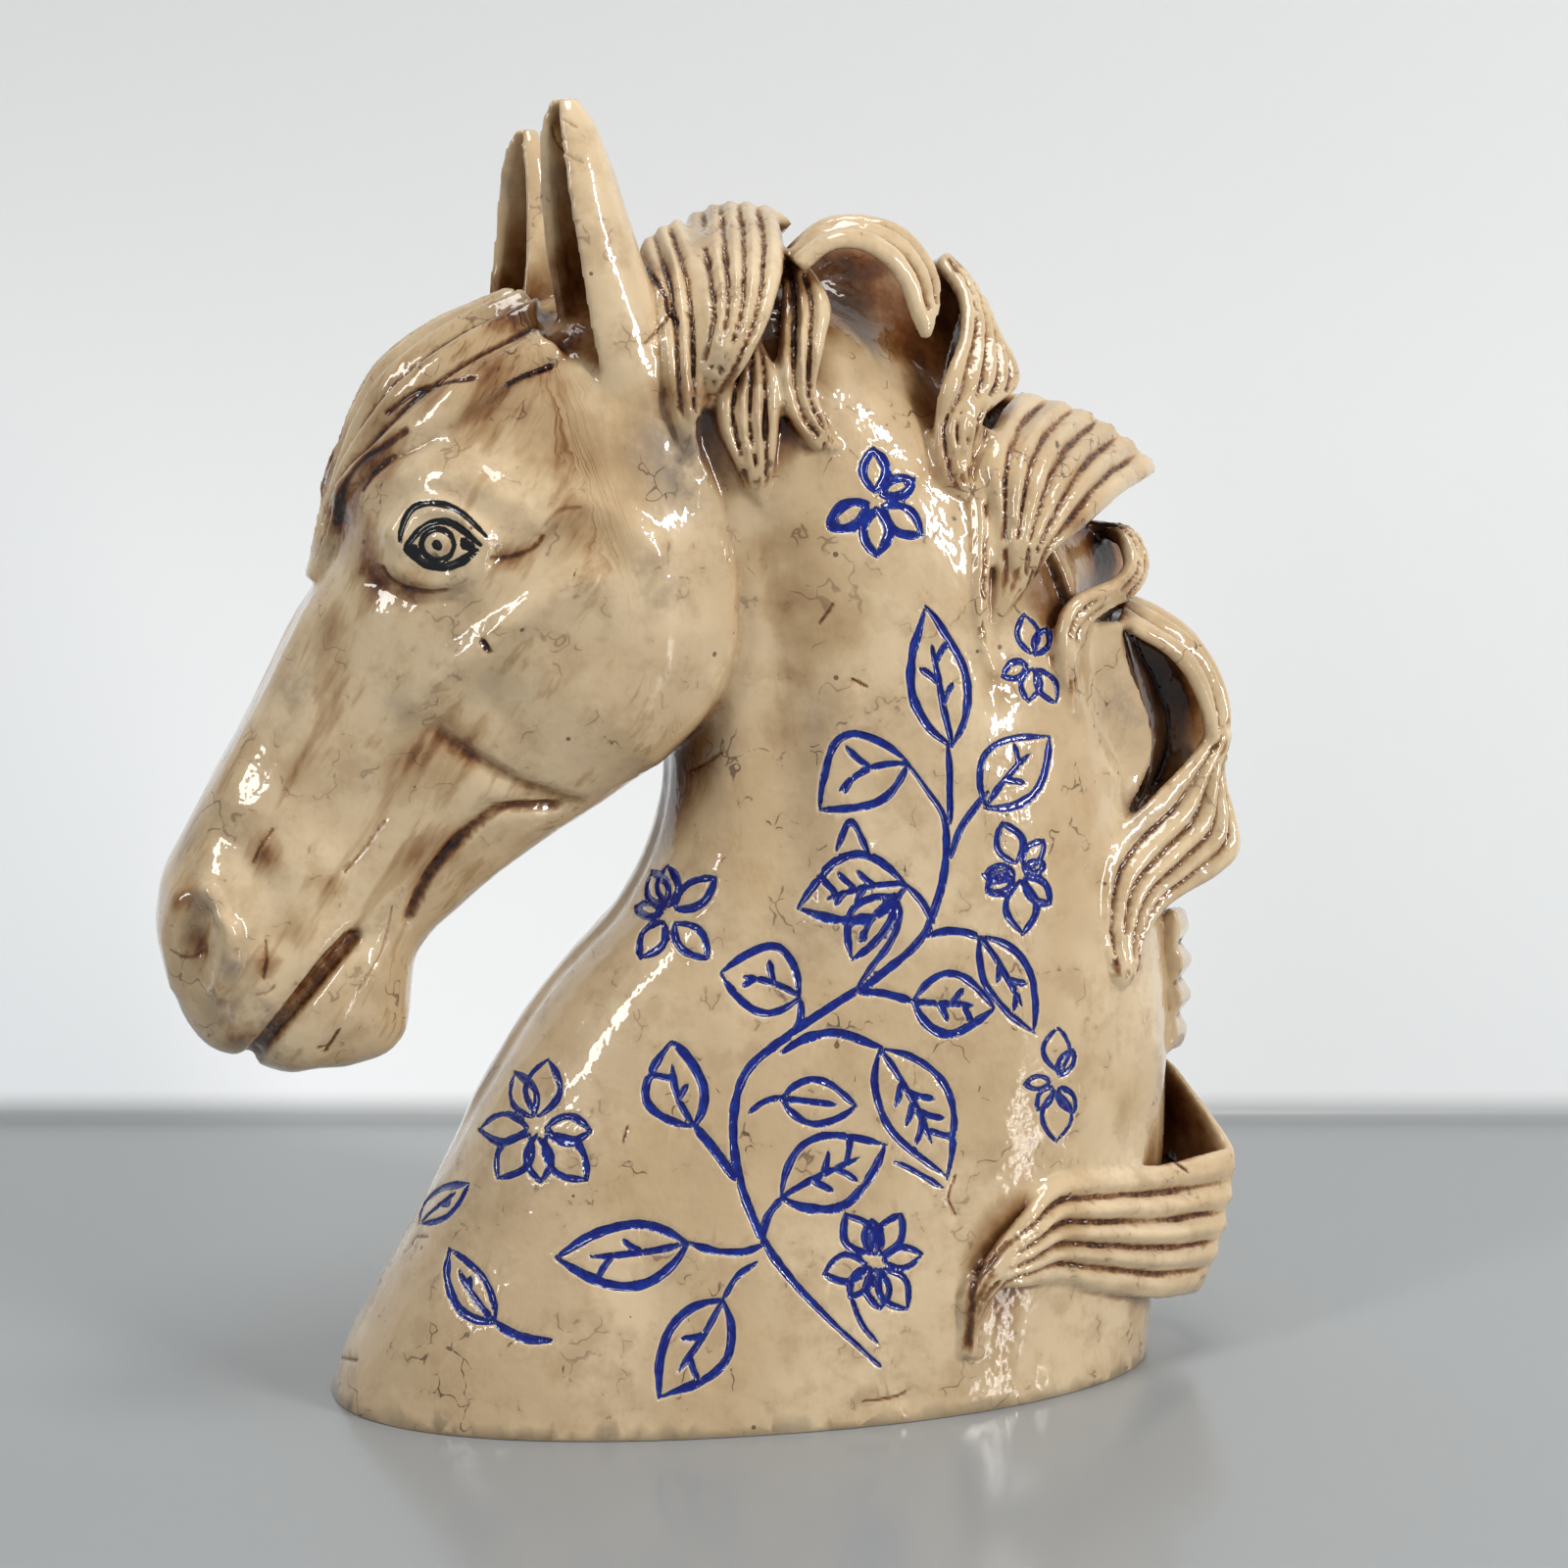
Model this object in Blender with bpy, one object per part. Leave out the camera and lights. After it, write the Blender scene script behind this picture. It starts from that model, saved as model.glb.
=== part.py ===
"""A glazed ceramic horse bust: neck, head, ears, forelock and a mane of fluted slab locks, fired as one piece.

The horse faces -X, its left side is -Y, and it stands on its flat underside at the origin, +Z up, in metres.
"""

import math

import bmesh
import bpy
import numpy as np
from mathutils import Vector
from mathutils.bvhtree import BVHTree

# Driving sizes, in metres.
BUST_HEIGHT = 0.320
LOCK_THICKNESS = 0.0046
FLUTE_WIDTH = 0.0026
FLUTE_DEPTH = 0.0021
DEEPEST_FLUTE = 0.55
EAR_WALL = 0.0046
FORELOCK_THICKNESS = 0.0062
FORELOCK_FLUTE_DEPTH = 0.0032
TIP_LIFT = 0.0003
TIP_WIDTH = 0.0020

# Shares of a form's own size.
EAR_RIM_SHARE = 0.55
LOCK_EDGE_SHARE = 0.3
NARROW_LOCK_SHARE = 0.45
ROOT_FLUTE_SHARE = 0.45
ROOT_RUN = 0.15
TIP_RUN = 0.3
STILL_NARROW = 1.6

# How square the neck's sections are, at the throat and at the crest.
THROAT_POWER, CREST_POWER = 2.25, 2.1

# The free forms are drawn for a bust 320 units tall, so that one unit is one share of the height.
DRAWN_HEIGHT = 320.0
UNIT = BUST_HEIGHT / DRAWN_HEIGHT

# How finely the forms are sampled, and how many faces each keeps before they are joined.
NECK_RINGS, NECK_SIDES, NECK_FACES = 70, 72, 580
HEAD_RINGS, HEAD_SIDES, HEAD_FACES = 120, 110, 2050
EAR_RINGS, EAR_SIDES, EAR_FACES = 22, 24, 230
LOCK_RING_SPACING = 0.0180
FORELOCK_RINGS = 10
CREASE_DEGREES = 32.0
BACK_SIDES = 4
MERGE_DISTANCE = 1e-6
POLL_PAD_RINGS, POLL_PAD_SIDES = 7, 14

# The neck, from its foot to the poll: (front x, front z, back x, back z, half width).
NECK_STATIONS = (
    (-107.0, -10.0, 109.0, -10.0, 54.5),
    (-103.5, 2.0, 109.0, 2.0, 54.0),
    (-99.0, 14.0, 110.0, 16.0, 53.0),
    (-84.0, 40.0, 112.0, 48.0, 50.5),
    (-67.0, 71.0, 113.0, 84.0, 47.0),
    (-48.0, 100.0, 110.0, 118.0, 43.5),
    (-28.0, 122.0, 103.0, 148.0, 41.0),
    (-18.0, 146.0, 95.0, 178.0, 38.5),
    (-18.0, 170.0, 82.0, 209.0, 36.5),
    (-25.0, 194.0, 62.0, 241.0, 34.5),
    (-37.0, 215.0, 34.0, 267.0, 32.5),
    (-52.0, 232.0, -3.0, 280.0, 30.0),
    (-66.0, 243.0, -38.0, 274.0, 22.0),
)

# The head, from the back of the skull to the lips: (face x, face z, jaw x, jaw z, half width, face squareness,
# jaw squareness).
HEAD_STATIONS = (
    (-8.0, 262.0, 4.0, 248.0, 12.0, 2.2, 2.2),
    (-22.0, 276.0, 0.0, 234.0, 26.0, 2.3, 2.4),
    (-48.0, 272.0, -4.0, 216.0, 35.0, 2.4, 2.7),
    (-72.0, 260.0, -3.0, 200.0, 39.0, 2.5, 3.0),
    (-88.0, 241.0, -6.0, 183.0, 40.5, 2.6, 3.2),
    (-97.0, 222.0, -17.0, 166.0, 39.0, 2.6, 3.2),
    (-103.0, 207.0, -34.0, 151.5, 34.0, 2.6, 3.0),
    (-113.0, 188.0, -53.0, 138.0, 28.0, 2.5, 2.6),
    (-124.0, 168.0, -68.0, 126.0, 24.5, 2.4, 2.4),
    (-136.0, 147.0, -80.0, 114.5, 23.5, 2.4, 2.3),
    (-143.5, 130.0, -83.0, 103.0, 24.5, 2.5, 2.4),
    (-143.0, 113.0, -86.0, 92.0, 23.0, 2.5, 2.4),
    (-137.0, 97.0, -96.0, 86.0, 18.0, 2.4, 2.3),
    (-125.0, 88.0, -111.0, 85.0, 8.0, 2.2, 2.2),
)


# The relief of the head and of the neck, seen from the side: a path of (x, z), its half width, how far it stands out
# or sinks in, and how far from the middle plane it starts.
HEAD_RELIEF = (
    (((-84.0, 216.5), (-77.0, 218.5), (-70.0, 216.0)), 7.5, 3.4, 8.0),
    (((-95.0, 225.0), (-86.0, 231.0), (-73.0, 232.0), (-60.0, 226.0)), 4.5, 2.6, 12.0),
    (((-87.0, 218.5), (-82.0, 225.0), (-74.0, 224.5), (-67.0, 218.0)), 1.8, 1.5, 12.0),
    (((-89.0, 211.0), (-82.0, 208.0), (-74.0, 208.5), (-67.0, 213.0)), 1.9, 1.0, 12.0),
    (((-92.0, 207.0), (-85.0, 203.0), (-75.0, 203.5)), 2.6, -2.0, 12.0),
    (((-65.0, 213.0), (-58.0, 215.0), (-52.0, 219.0)), 2.6, -1.6, 12.0),
    (((-62.0, 242.0), (-48.0, 238.0)), 8.0, -1.8, 12.0),
    (((-54.0, 221.0), (-46.0, 226.0), (-36.0, 223.0), (-28.0, 214.0)), 3.2, 1.3, 12.0),
    (((-44.0, 208.0), (-60.0, 199.0), (-72.0, 190.0), (-83.0, 180.0)), 4.4, 3.0, 12.0),
    (((-68.0, 178.0), (-86.0, 165.0), (-102.0, 150.0)), 8.0, -3.2, 6.0),
    (((-30.0, 204.0), (-28.0, 188.0), (-36.0, 176.0)), 18.0, 3.4, 12.0),
    (
        ((-17.0, 231.0), (-10.0, 220.0), (-9.0, 205.0), (-10.0, 190.0), (-15.0, 177.0), (-27.0, 166.0)),
        4.5, 2.2, 10.0,
    ),
    (((-79.0, 171.0), (-67.0, 162.0), (-54.0, 155.5), (-44.0, 152.0)), 2.4, -1.6, 6.0),
    (
        ((-48.0, 151.0), (-64.0, 152.0), (-71.0, 147.0), (-77.0, 139.0), (-82.0, 132.0), (-85.0, 124.0)),
        1.7, -1.7, 6.0,
    ),
    (
        ((-98.0, 121.0), (-102.0, 117.0), (-108.0, 110.0), (-115.0, 102.0), (-121.0, 94.0), (-125.0, 86.0)),
        2.2, -3.2, 0.0,
    ),
    (((-105.0, 123.0), (-113.0, 115.0), (-121.0, 105.0), (-130.0, 96.0)), 4.5, 1.4, 4.0),
    (((-94.0, 113.0), (-100.0, 106.0), (-108.0, 96.0), (-113.0, 88.0)), 4.5, 1.4, 4.0),
    (((-134.5, 127.0), (-136.5, 120.0), (-136.0, 112.0)), 3.6, -2.8, 5.0),
    (((-132.0, 133.0), (-127.5, 122.0), (-131.0, 109.0)), 2.4, 2.7, 5.0),
    (((-139.0, 131.0), (-142.5, 121.0), (-140.0, 108.0)), 2.0, 1.2, 5.0),
    (((-126.0, 144.0), (-119.0, 134.0), (-119.0, 124.0)), 5.0, -1.6, 6.0),
    (((-108.0, 198.0), (-119.0, 172.0), (-128.0, 155.0)), 3.5, 1.0, 9.0),
    (((-90.0, 92.0), (-86.0, 99.0)), 5.0, 1.0, 0.0),
)
NECK_RELIEF = (
    (((2.0, 214.0), (3.0, 190.0), (6.0, 157.0), (5.0, 133.0), (0.0, 108.0)), 8.0, -3.0, 6.0),
    (((-8.0, 180.0), (-8.0, 156.0), (-18.0, 131.0), (-38.0, 105.0), (-60.0, 72.0)), 9.0, 1.6, 4.0),
    (((-12.0, 112.0), (-22.0, 75.0), (-34.0, 40.0)), 10.0, -1.4, 4.0),
    (((40.0, 215.0), (58.0, 150.0), (62.0, 90.0)), 24.0, 2.0, 6.0),
)

# The ears, from the base to the tip: (x, y, z, half length, half breadth, half angle of the opening).
NEAR_EAR = (
    (-19.0, -18.0, 222.0, 15.0, 10.0, 12.0),
    (-25.5, -21.5, 240.0, 15.5, 11.5, 24.0),
    (-31.0, -24.0, 256.0, 15.0, 12.0, 36.0),
    (-36.5, -25.5, 272.0, 13.4, 11.2, 44.0),
    (-40.5, -26.0, 288.0, 11.6, 10.2, 48.0),
    (-43.0, -25.0, 302.0, 9.6, 8.6, 48.0),
    (-44.5, -24.0, 313.0, 6.9, 6.5, 44.0),
    (-45.3, -24.0, 320.0, 3.0, 3.0, 30.0),
)
FAR_EAR = (
    (-29.0, 18.0, 222.0, 15.0, 10.0, 12.0),
    (-36.0, 21.0, 240.0, 15.5, 11.5, 24.0),
    (-42.0, 24.0, 256.0, 15.0, 12.0, 34.0),
    (-46.0, 26.0, 270.0, 13.5, 11.0, 50.0),
    (-46.5, 26.0, 284.0, 11.6, 10.0, 56.0),
    (-47.5, 25.0, 298.0, 8.8, 8.2, 58.0),
    (-48.0, 24.0, 308.0, 6.0, 5.8, 52.0),
    (-48.0, 24.0, 314.0, 2.4, 2.4, 36.0),
)
NEAR_EAR_TURN, FAR_EAR_TURN = 22.0, 22.0

# The forelock, from the poll to its tip: a point on its near edge, one on its far edge, and how far its middle line
# lies off the forehead.
FORELOCK_FLUTES = 8
FORELOCK = (
    (-40.0, -24.0, 258.0, -40.0, 24.0, 258.0, 2.0),
    (-52.0, -31.0, 257.0, -52.0, 30.0, 258.0, 3.0),
    (-64.0, -31.0, 251.0, -63.0, 31.0, 252.0, 4.5),
    (-76.0, -29.0, 243.0, -74.0, 30.0, 244.0, 6.5),
    (-88.0, -23.0, 235.0, -85.0, 26.0, 235.0, 5.5),
    (-96.0, -15.0, 227.0, -93.0, 20.0, 226.0, 4.0),
    (-101.0, -9.0, 217.0, -99.0, 12.0, 216.0, 2.5),
    (-105.0, -6.0, 206.0, -105.0, 3.0, 205.0, 0.6),
)
FORELOCK_EDGE_LIFT = 1.2
FORELOCK_ARCH = 20.0
FORELOCK_UP = (-0.7, 0.0, 0.7)
FORELOCK_TIP_SHARES = (0.5, 0.3)

# How many flutes each lock of the mane has.
LOCK_FLUTES = {
    "poll_lock": 5,
    "ear_strand": 3,
    "leaf_lock": 4,
    "narrow_lock": 3,
    "arch_lock": 3,
    "bowl_sheet": 3,
    "bulge_lock": 5,
    "fan_lock": 6,
    "under_strand": 2,
    "curl_lock": 3,
    "loop_lock": 3,
    "loop_sheet": 2,
    "inner_sheet": 1,
    "tail_lock": 5,
    "low_lock": 5,
    "back_lock": 4,
    "low_wrap": 3,
    "curl_sheet": 1,
}

# The locks of the near side: how far the middle bulges out, and stations along the lock, each with a point on one
# edge and a point on the other edge.
LOCKS = {
    "poll_lock": (3.0, (
        (-10.6, 8.0, 290.9, 10.9, 2.0, 293.1),
        (-14.0, -14.0, 282.9, 7.3, -24.0, 283.4),
        (-14.5, -33.0, 270.9, 1.3, -39.0, 269.8),
        (-14.8, -37.0, 261.9, -5.4, -42.0, 257.6),
        (-18.1, -32.5, 248.8, -12.5, -33.8, 246.5),
    )),
    "ear_strand": (2.0, (
        (-25.5, -10.0, 283.6, -12.8, 0.0, 290.7),
        (-25.0, -24.5, 275.0, -12.5, -17.0, 282.0),
        (-24.0, -31.5, 264.0, -12.5, -31.0, 271.0),
        (-23.2, -33.8, 253.0, -13.5, -36.0, 259.5),
        (-20.5, -34.0, 241.0, -15.5, -35.0, 246.0),
        (-16.0, -33.8, 231.0, -14.5, -34.0, 230.5),
    )),
    "leaf_lock": (2.0, (
        (-5.1, -29.8, 262.6, 0.6, -28.8, 263.1),
        (-9.5, -33.0, 252.6, 3.5, -33.6, 254.1),
        (-11.1, -33.9, 244.9, 3.9, -35.3, 244.6),
        (-6.6, -34.3, 233.8, 2.4, -35.1, 233.9),
        (-0.9, -33.4, 224.9, -0.2, -33.4, 224.7),
    )),
    "narrow_lock": (1.5, (
        (9.9, -14.0, 279.8, 14.9, -18.0, 280.6),
        (6.2, -26.0, 268.4, 17.3, -30.0, 271.9),
        (3.7, -32.8, 257.0, 15.4, -33.0, 262.7),
        (5.0, -35.0, 246.5, 13.1, -32.5, 253.8),
        (10.8, -35.3, 238.8, 14.7, -35.0, 245.7),
        (16.3, -33.8, 236.7, 19.1, -33.5, 237.6),
    )),
    "arch_lock": (1.5, (
        (10.3, -30.0, 280.2, 11.0, -10.0, 281.5),
        (16.8, -30.0, 285.3, 18.8, -10.0, 289.0),
        (24.2, -29.0, 285.8, 27.9, -10.0, 291.1),
        (31.0, -29.0, 282.0, 38.0, -12.0, 288.8),
        (35.6, -29.0, 275.8, 43.9, -16.0, 282.2),
        (37.6, -30.0, 269.0, 45.4, -22.0, 274.0),
        (40.0, -31.0, 263.4, 41.7, -30.0, 263.4),
    )),
    "bowl_sheet": (5.0, (
        (12.2, -2.0, 280.9, 19.2, -18.4, 266.3),
        (21.7, 3.0, 288.5, 22.7, -20.1, 262.8),
        (30.4, 3.0, 290.7, 28.2, -20.3, 259.3),
        (40.5, 3.0, 288.5, 35.6, -19.9, 254.5),
        (49.8, 2.0, 281.3, 42.9, -20.3, 247.4),
        (58.7, 0.0, 272.3, 46.6, -22.2, 240.4),
    )),
    "bulge_lock": (2.5, (
        (49.5, -6.0, 281.4, 51.3, 4.0, 281.7),
        (53.2, -14.0, 273.8, 59.9, 0.0, 272.6),
        (51.6, -22.0, 264.5, 65.5, -4.0, 262.9),
        (45.2, -30.0, 252.6, 68.9, -12.0, 252.6),
        (43.1, -28.2, 242.1, 57.1, -26.0, 244.7),
        (43.2, -31.1, 231.1, 54.7, -24.9, 238.2),
        (49.6, -29.3, 224.2, 51.8, -28.6, 225.2),
    )),
    "fan_lock": (4.0, (
        (71.5, -2.0, 248.7, 110.4, 4.0, 228.1),
        (61.1, -18.0, 242.8, 95.1, -14.0, 223.7),
        (55.7, -29.0, 232.8, 83.5, -24.0, 217.3),
        (57.5, -30.6, 218.0, 73.5, -30.0, 211.5),
        (57.9, -33.6, 206.1, 68.2, -29.2, 204.9),
        (57.2, -34.0, 194.8, 58.6, -33.5, 195.2),
    )),
    "under_strand": (1.0, (
        (54.8, -22.0, 243.1, 59.8, -22.0, 240.6),
        (52.8, -25.5, 234.4, 58.9, -22.8, 231.9),
        (52.5, -30.3, 222.6, 57.4, -28.0, 222.5),
        (52.0, -34.0, 208.5, 56.1, -32.7, 208.3),
        (51.6, -36.0, 194.2, 54.8, -35.3, 194.0),
        (55.8, -35.5, 182.0, 56.6, -35.4, 181.9),
    )),
    "curl_lock": (1.0, (
        (91.4, 2.0, 213.3, 93.0, 4.0, 215.9),
        (96.0, -10.0, 212.3, 100.7, -4.0, 213.2),
        (96.5, -16.0, 207.4, 103.2, -8.0, 206.0),
        (91.1, -22.0, 203.4, 99.6, -14.0, 200.5),
        (80.8, -27.0, 200.5, 89.0, -21.0, 195.8),
        (75.7, -30.0, 195.8, 82.0, -25.0, 191.9),
        (74.2, -31.0, 188.2, 79.7, -27.0, 185.6),
        (76.4, -31.0, 178.4, 80.5, -28.0, 177.9),
        (79.8, -30.0, 171.4, 80.5, -30.0, 171.1),
    )),
    "loop_lock": (1.5, (
        (93.8, -18.0, 192.6, 103.3, 4.0, 195.6),
        (99.6, -20.0, 188.8, 109.9, 0.0, 192.6),
        (107.4, -20.0, 184.1, 117.3, -2.0, 186.8),
        (113.6, -18.0, 177.0, 123.1, -4.0, 178.1),
        (117.6, -16.0, 168.4, 126.3, -6.0, 168.3),
        (119.5, -14.0, 160.0, 124.5, -8.0, 157.8),
    )),
    "loop_sheet": (-5.0, (
        (96.4, -10.0, 190.2, 114.7, 2.0, 185.9),
        (100.3, -8.0, 177.4, 125.0, 3.0, 174.1),
        (104.6, -6.0, 163.1, 128.1, 2.0, 163.9),
        (105.4, -4.0, 148.9, 122.5, 0.0, 154.1),
        (97.8, -8.0, 137.1, 105.6, -4.0, 141.2),
    )),
    "inner_sheet": (-3.0, (
        (80.9, -27.0, 193.4, 93.8, -19.0, 192.7),
        (78.4, -29.0, 180.6, 97.4, -17.0, 181.1),
        (81.8, -27.0, 165.5, 102.9, -15.0, 168.2),
        (84.6, -25.0, 150.3, 103.9, -14.0, 155.5),
        (87.4, -24.0, 135.6, 92.9, -22.0, 139.6),
    )),
    "tail_lock": (3.0, (
        (121.1, -12.0, 164.2, 126.4, -6.0, 162.8),
        (113.9, -16.0, 156.7, 126.0, -4.0, 150.2),
        (102.7, -20.0, 147.9, 131.7, -4.0, 132.1),
        (91.9, -25.0, 140.4, 123.7, -10.0, 125.5),
        (86.5, -29.0, 132.3, 108.3, -17.0, 119.5),
        (85.0, -31.0, 121.6, 100.9, -21.0, 112.7),
        (85.4, -31.0, 111.6, 97.4, -24.0, 105.9),
        (90.9, -31.9, 101.9, 92.8, -30.8, 101.6),
    )),
    "low_lock": (3.0, (
        (128.7, -12.0, 53.6, 118.4, -14.0, 15.8),
        (107.2, -24.0, 54.0, 103.2, -26.0, 18.6),
        (85.2, -36.0, 56.2, 85.6, -36.0, 25.1),
        (71.9, -42.0, 56.6, 72.5, -41.0, 29.7),
        (63.2, -47.3, 50.9, 62.7, -48.1, 31.3),
        (53.6, -50.0, 41.7, 55.6, -49.9, 31.5),
        (47.2, -51.7, 30.8, 52.4, -50.9, 24.7),
        (46.0, -49.9, 15.0, 50.8, -49.0, 14.3),
    )),
    "back_lock": (1.5, (
        (112.0, -8.0, 79.0, 112.0, -8.0, 117.0),
        (119.5, 8.0, 77.0, 119.5, 8.0, 114.0),
        (112.0, 26.0, 77.0, 110.0, 27.0, 108.0),
        (95.0, 38.0, 81.0, 92.0, 38.0, 102.0),
        (76.0, 44.0, 88.0, 75.0, 44.0, 95.0),
    )),
    "low_wrap": (1.5, (
        (118.4, -14.0, 15.8, 128.7, -12.0, 53.6),
        (122.0, 2.0, 16.0, 124.0, 3.0, 64.0),
        (116.0, 18.0, 20.0, 115.0, 20.0, 75.0),
        (97.0, 38.0, 28.0, 95.0, 36.0, 80.0),
        (73.0, 48.0, 44.0, 74.0, 46.0, 70.0),
        (54.0, 52.0, 59.0, 55.0, 51.0, 64.0),
    )),
    "curl_sheet": (-3.0, (
        (74.0, -20.0, 214.0, 97.0, 4.0, 216.0),
        (78.0, -23.0, 204.0, 103.0, 4.0, 207.0),
        (81.0, -24.0, 194.0, 100.0, 2.0, 198.0),
        (83.0, -24.0, 184.0, 95.0, -4.0, 188.0),
    )),
}

# The clay that carries the locks over the poll: centre and half sizes.
POLL_PAD = (-3.0, 0.0, 280.0, 15.0, 26.0, 11.0)

# The pieces whose lower end isn't laid on the neck.
FREE_ENDS = ("arch_lock", "loop_lock", "bowl_sheet", "loop_sheet", "inner_sheet", "curl_sheet")

# The locks of the far side mirror some of those of the near side, moved by (x, z), with fewer flutes.
FAR_FLUTES = 3
FAR_LOCKS = (
    ("poll_lock", 3.0, -2.0),
    ("leaf_lock", 6.0, -4.0),
    ("narrow_lock", 8.0, -6.0),
    ("bulge_lock", -2.0, -4.0),
    ("fan_lock", -4.0, 0.0),
    ("tail_lock", -6.0, 4.0),
    ("loop_lock", -4.0, 0.0),
)


def spline(points, shares):
    """Points of a smooth curve through the given ones, at shares of its run from 0 to 1."""
    p = np.asarray(points, float)
    last = len(p) - 1
    t = np.clip(np.asarray(shares, float), 0.0, 1.0) * last
    i = np.minimum(t.astype(int), last - 1)
    f = (t - i)[..., None]
    ends = np.vstack([2 * p[0] - p[1], p, 2 * p[-1] - p[-2]])
    a, b, c, d = (ends[i + k] for k in range(4))
    return 0.5 * (
        2 * b + (c - a) * f + (2 * a - 5 * b + 4 * c - d) * f**2 + (3 * b - a - 3 * c + d) * f**3
    )


def smooth_step(low, high, x):
    """0 below low, 1 above high, and a smooth rise between."""
    t = np.clip((x - low) / (high - low), 0.0, 1.0)
    return t * t * (3 - 2 * t)


def signed_power(x, power):
    return np.sign(x) * np.abs(x) ** power


def mesh_object(name, points, faces):
    """A mesh object of these points, in drawing units, with its faces turned outwards."""
    mesh = bpy.data.meshes.new(name)
    mesh.from_pydata([tuple(p) for p in np.asarray(points) * UNIT], [], faces)
    bm = bmesh.new()
    bm.from_mesh(mesh)
    bmesh.ops.recalc_face_normals(bm, faces=bm.faces[:])
    bmesh.ops.triangulate(bm, faces=bm.faces[:], ngon_method="EAR_CLIP")
    bm.to_mesh(mesh)
    bm.free()
    obj = bpy.data.objects.new(name, mesh)
    bpy.context.scene.collection.objects.link(obj)
    return obj


def tube_object(name, rings):
    """A closed solid through rings of points, an array of ring, side and coordinate, with one face over each end."""
    count, sides = rings.shape[:2]
    faces = [tuple(range(sides)), tuple(range(count * sides - 1, (count - 1) * sides - 1, -1))]
    for i in range(count - 1):
        for j in range(sides):
            k = (j + 1) % sides
            faces.append((i * sides + j, i * sides + k, (i + 1) * sides + k, (i + 1) * sides + j))
    return mesh_object(name, rings.reshape(-1, 3), faces)


def sections(stations, along, around):
    """Points of a form drawn by two outlines in the middle plane and a half width, at shares along and angles around.

    Angle 0 is the front or face outline, and a half turn is the back or jaw outline.
    """
    table = np.asarray(stations, float)
    s = spline(table, along)
    front, back, width = s[..., 0:2], s[..., 2:4], s[..., 4]
    face_power, jaw_power = (s[..., 5], s[..., 6]) if table.shape[1] > 5 else (THROAT_POWER, CREST_POWER)
    c, w = np.cos(around), np.sin(around)
    power = 2.0 / np.where(c > 0, face_power, jaw_power)
    a, b = signed_power(c, power), signed_power(w, power)
    middle, half = (front + back) / 2, (front - back) / 2
    x = middle[..., 0] + half[..., 0] * a
    z = middle[..., 1] + half[..., 1] * a
    return np.stack([x, width * b, z], -1)


def grid(rings, sides):
    """Shares along and angles around for a tube of rings and sides."""
    along = np.linspace(0, 1, rings)[:, None] * np.ones(sides)
    around = np.ones(rings)[:, None] * np.linspace(0, 2 * math.pi, sides, endpoint=False)
    return along, around


def path_distance(x, z, path):
    """How far each point lies from a smooth path in the side view."""
    p = spline(path, np.linspace(0, 1, 8 * len(path)))
    nearest = np.full(x.shape, np.inf)
    for (ax, az), (bx, bz) in zip(p[:-1], p[1:]):
        dx, dz = bx - ax, bz - az
        t = np.clip(((x - ax) * dx + (z - az) * dz) / (dx * dx + dz * dz), 0, 1)
        nearest = np.minimum(nearest, np.hypot(x - ax - t * dx, z - az - t * dz))
    return nearest


def unit(v):
    return v / np.maximum(np.linalg.norm(v, axis=-1, keepdims=True), 1e-9)


def carve(rings, relief):
    """The rings with the relief pushed out or in along the surface."""
    along = np.gradient(rings, axis=0)
    around = np.roll(rings, -1, axis=1) - np.roll(rings, 1, axis=1)
    out = unit(np.cross(around, along))
    if (out * (rings - rings.mean(axis=1, keepdims=True))).sum() < 0:
        out = -out
    x, y, z = rings[..., 0], rings[..., 1], rings[..., 2]
    rise = np.zeros(x.shape)
    for path, width, height, inner in relief:
        side = smooth_step(inner * 0.5, inner + 0.1, np.abs(y)) if inner else 1.0
        rise += height * side * np.exp(-((path_distance(x, z, path) / width) ** 2))
    return rings + out * rise[..., None]


def make_neck():
    along, around = grid(NECK_RINGS, NECK_SIDES)
    return tube_object("neck", carve(sections(NECK_STATIONS, along, around), NECK_RELIEF))


def make_head():
    along, around = grid(HEAD_RINGS, HEAD_SIDES)
    return tube_object("head", carve(sections(HEAD_STATIONS, along, around), HEAD_RELIEF))


def make_ear(name, stations, turn):
    """A cupped ear, its opening turned by so many degrees from straight ahead towards the near side."""
    s = spline(stations, np.linspace(0, 1, EAR_RINGS))
    ahead = math.radians(180.0 + turn)
    shares = np.linspace(0, 1, EAR_SIDES)
    loops = []
    for x, y, z, long, broad, half_gap in s:
        gap = math.radians(half_gap)
        angles = gap + shares * (2 * math.pi - 2 * gap)
        wall = min(EAR_WALL / UNIT, EAR_RIM_SHARE * min(long, broad))
        rim = np.minimum(1.0, EAR_RIM_SHARE + 3.0 * np.minimum(shares, 1 - shares))
        outer, inner = [], []
        for a, thin in zip(angles, rim):
            radius = np.array([long * math.cos(a), broad * math.sin(a)])
            shrink = 1 - wall * thin / np.hypot(*radius)
            outer.append(radius)
            inner.append(radius * shrink)
        flat = np.array(outer + inner[::-1])
        px = flat[:, 0] * math.cos(ahead) - flat[:, 1] * math.sin(ahead)
        py = flat[:, 0] * math.sin(ahead) + flat[:, 1] * math.cos(ahead)
        loops.append(np.stack([x + px, y + py, np.full(len(flat), z)], -1))
    return tube_object(name, np.array(loops))


def surface(forms):
    """The skin of the head and the neck, to lay the locks on, in drawing units."""
    points, faces = [], []
    for obj in forms:
        faces += [[len(points) + v for v in p.vertices] for p in obj.data.polygons]
        points += [v.co / UNIT for v in obj.data.vertices]
    return BVHTree.FromPolygons(points, faces)


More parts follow.
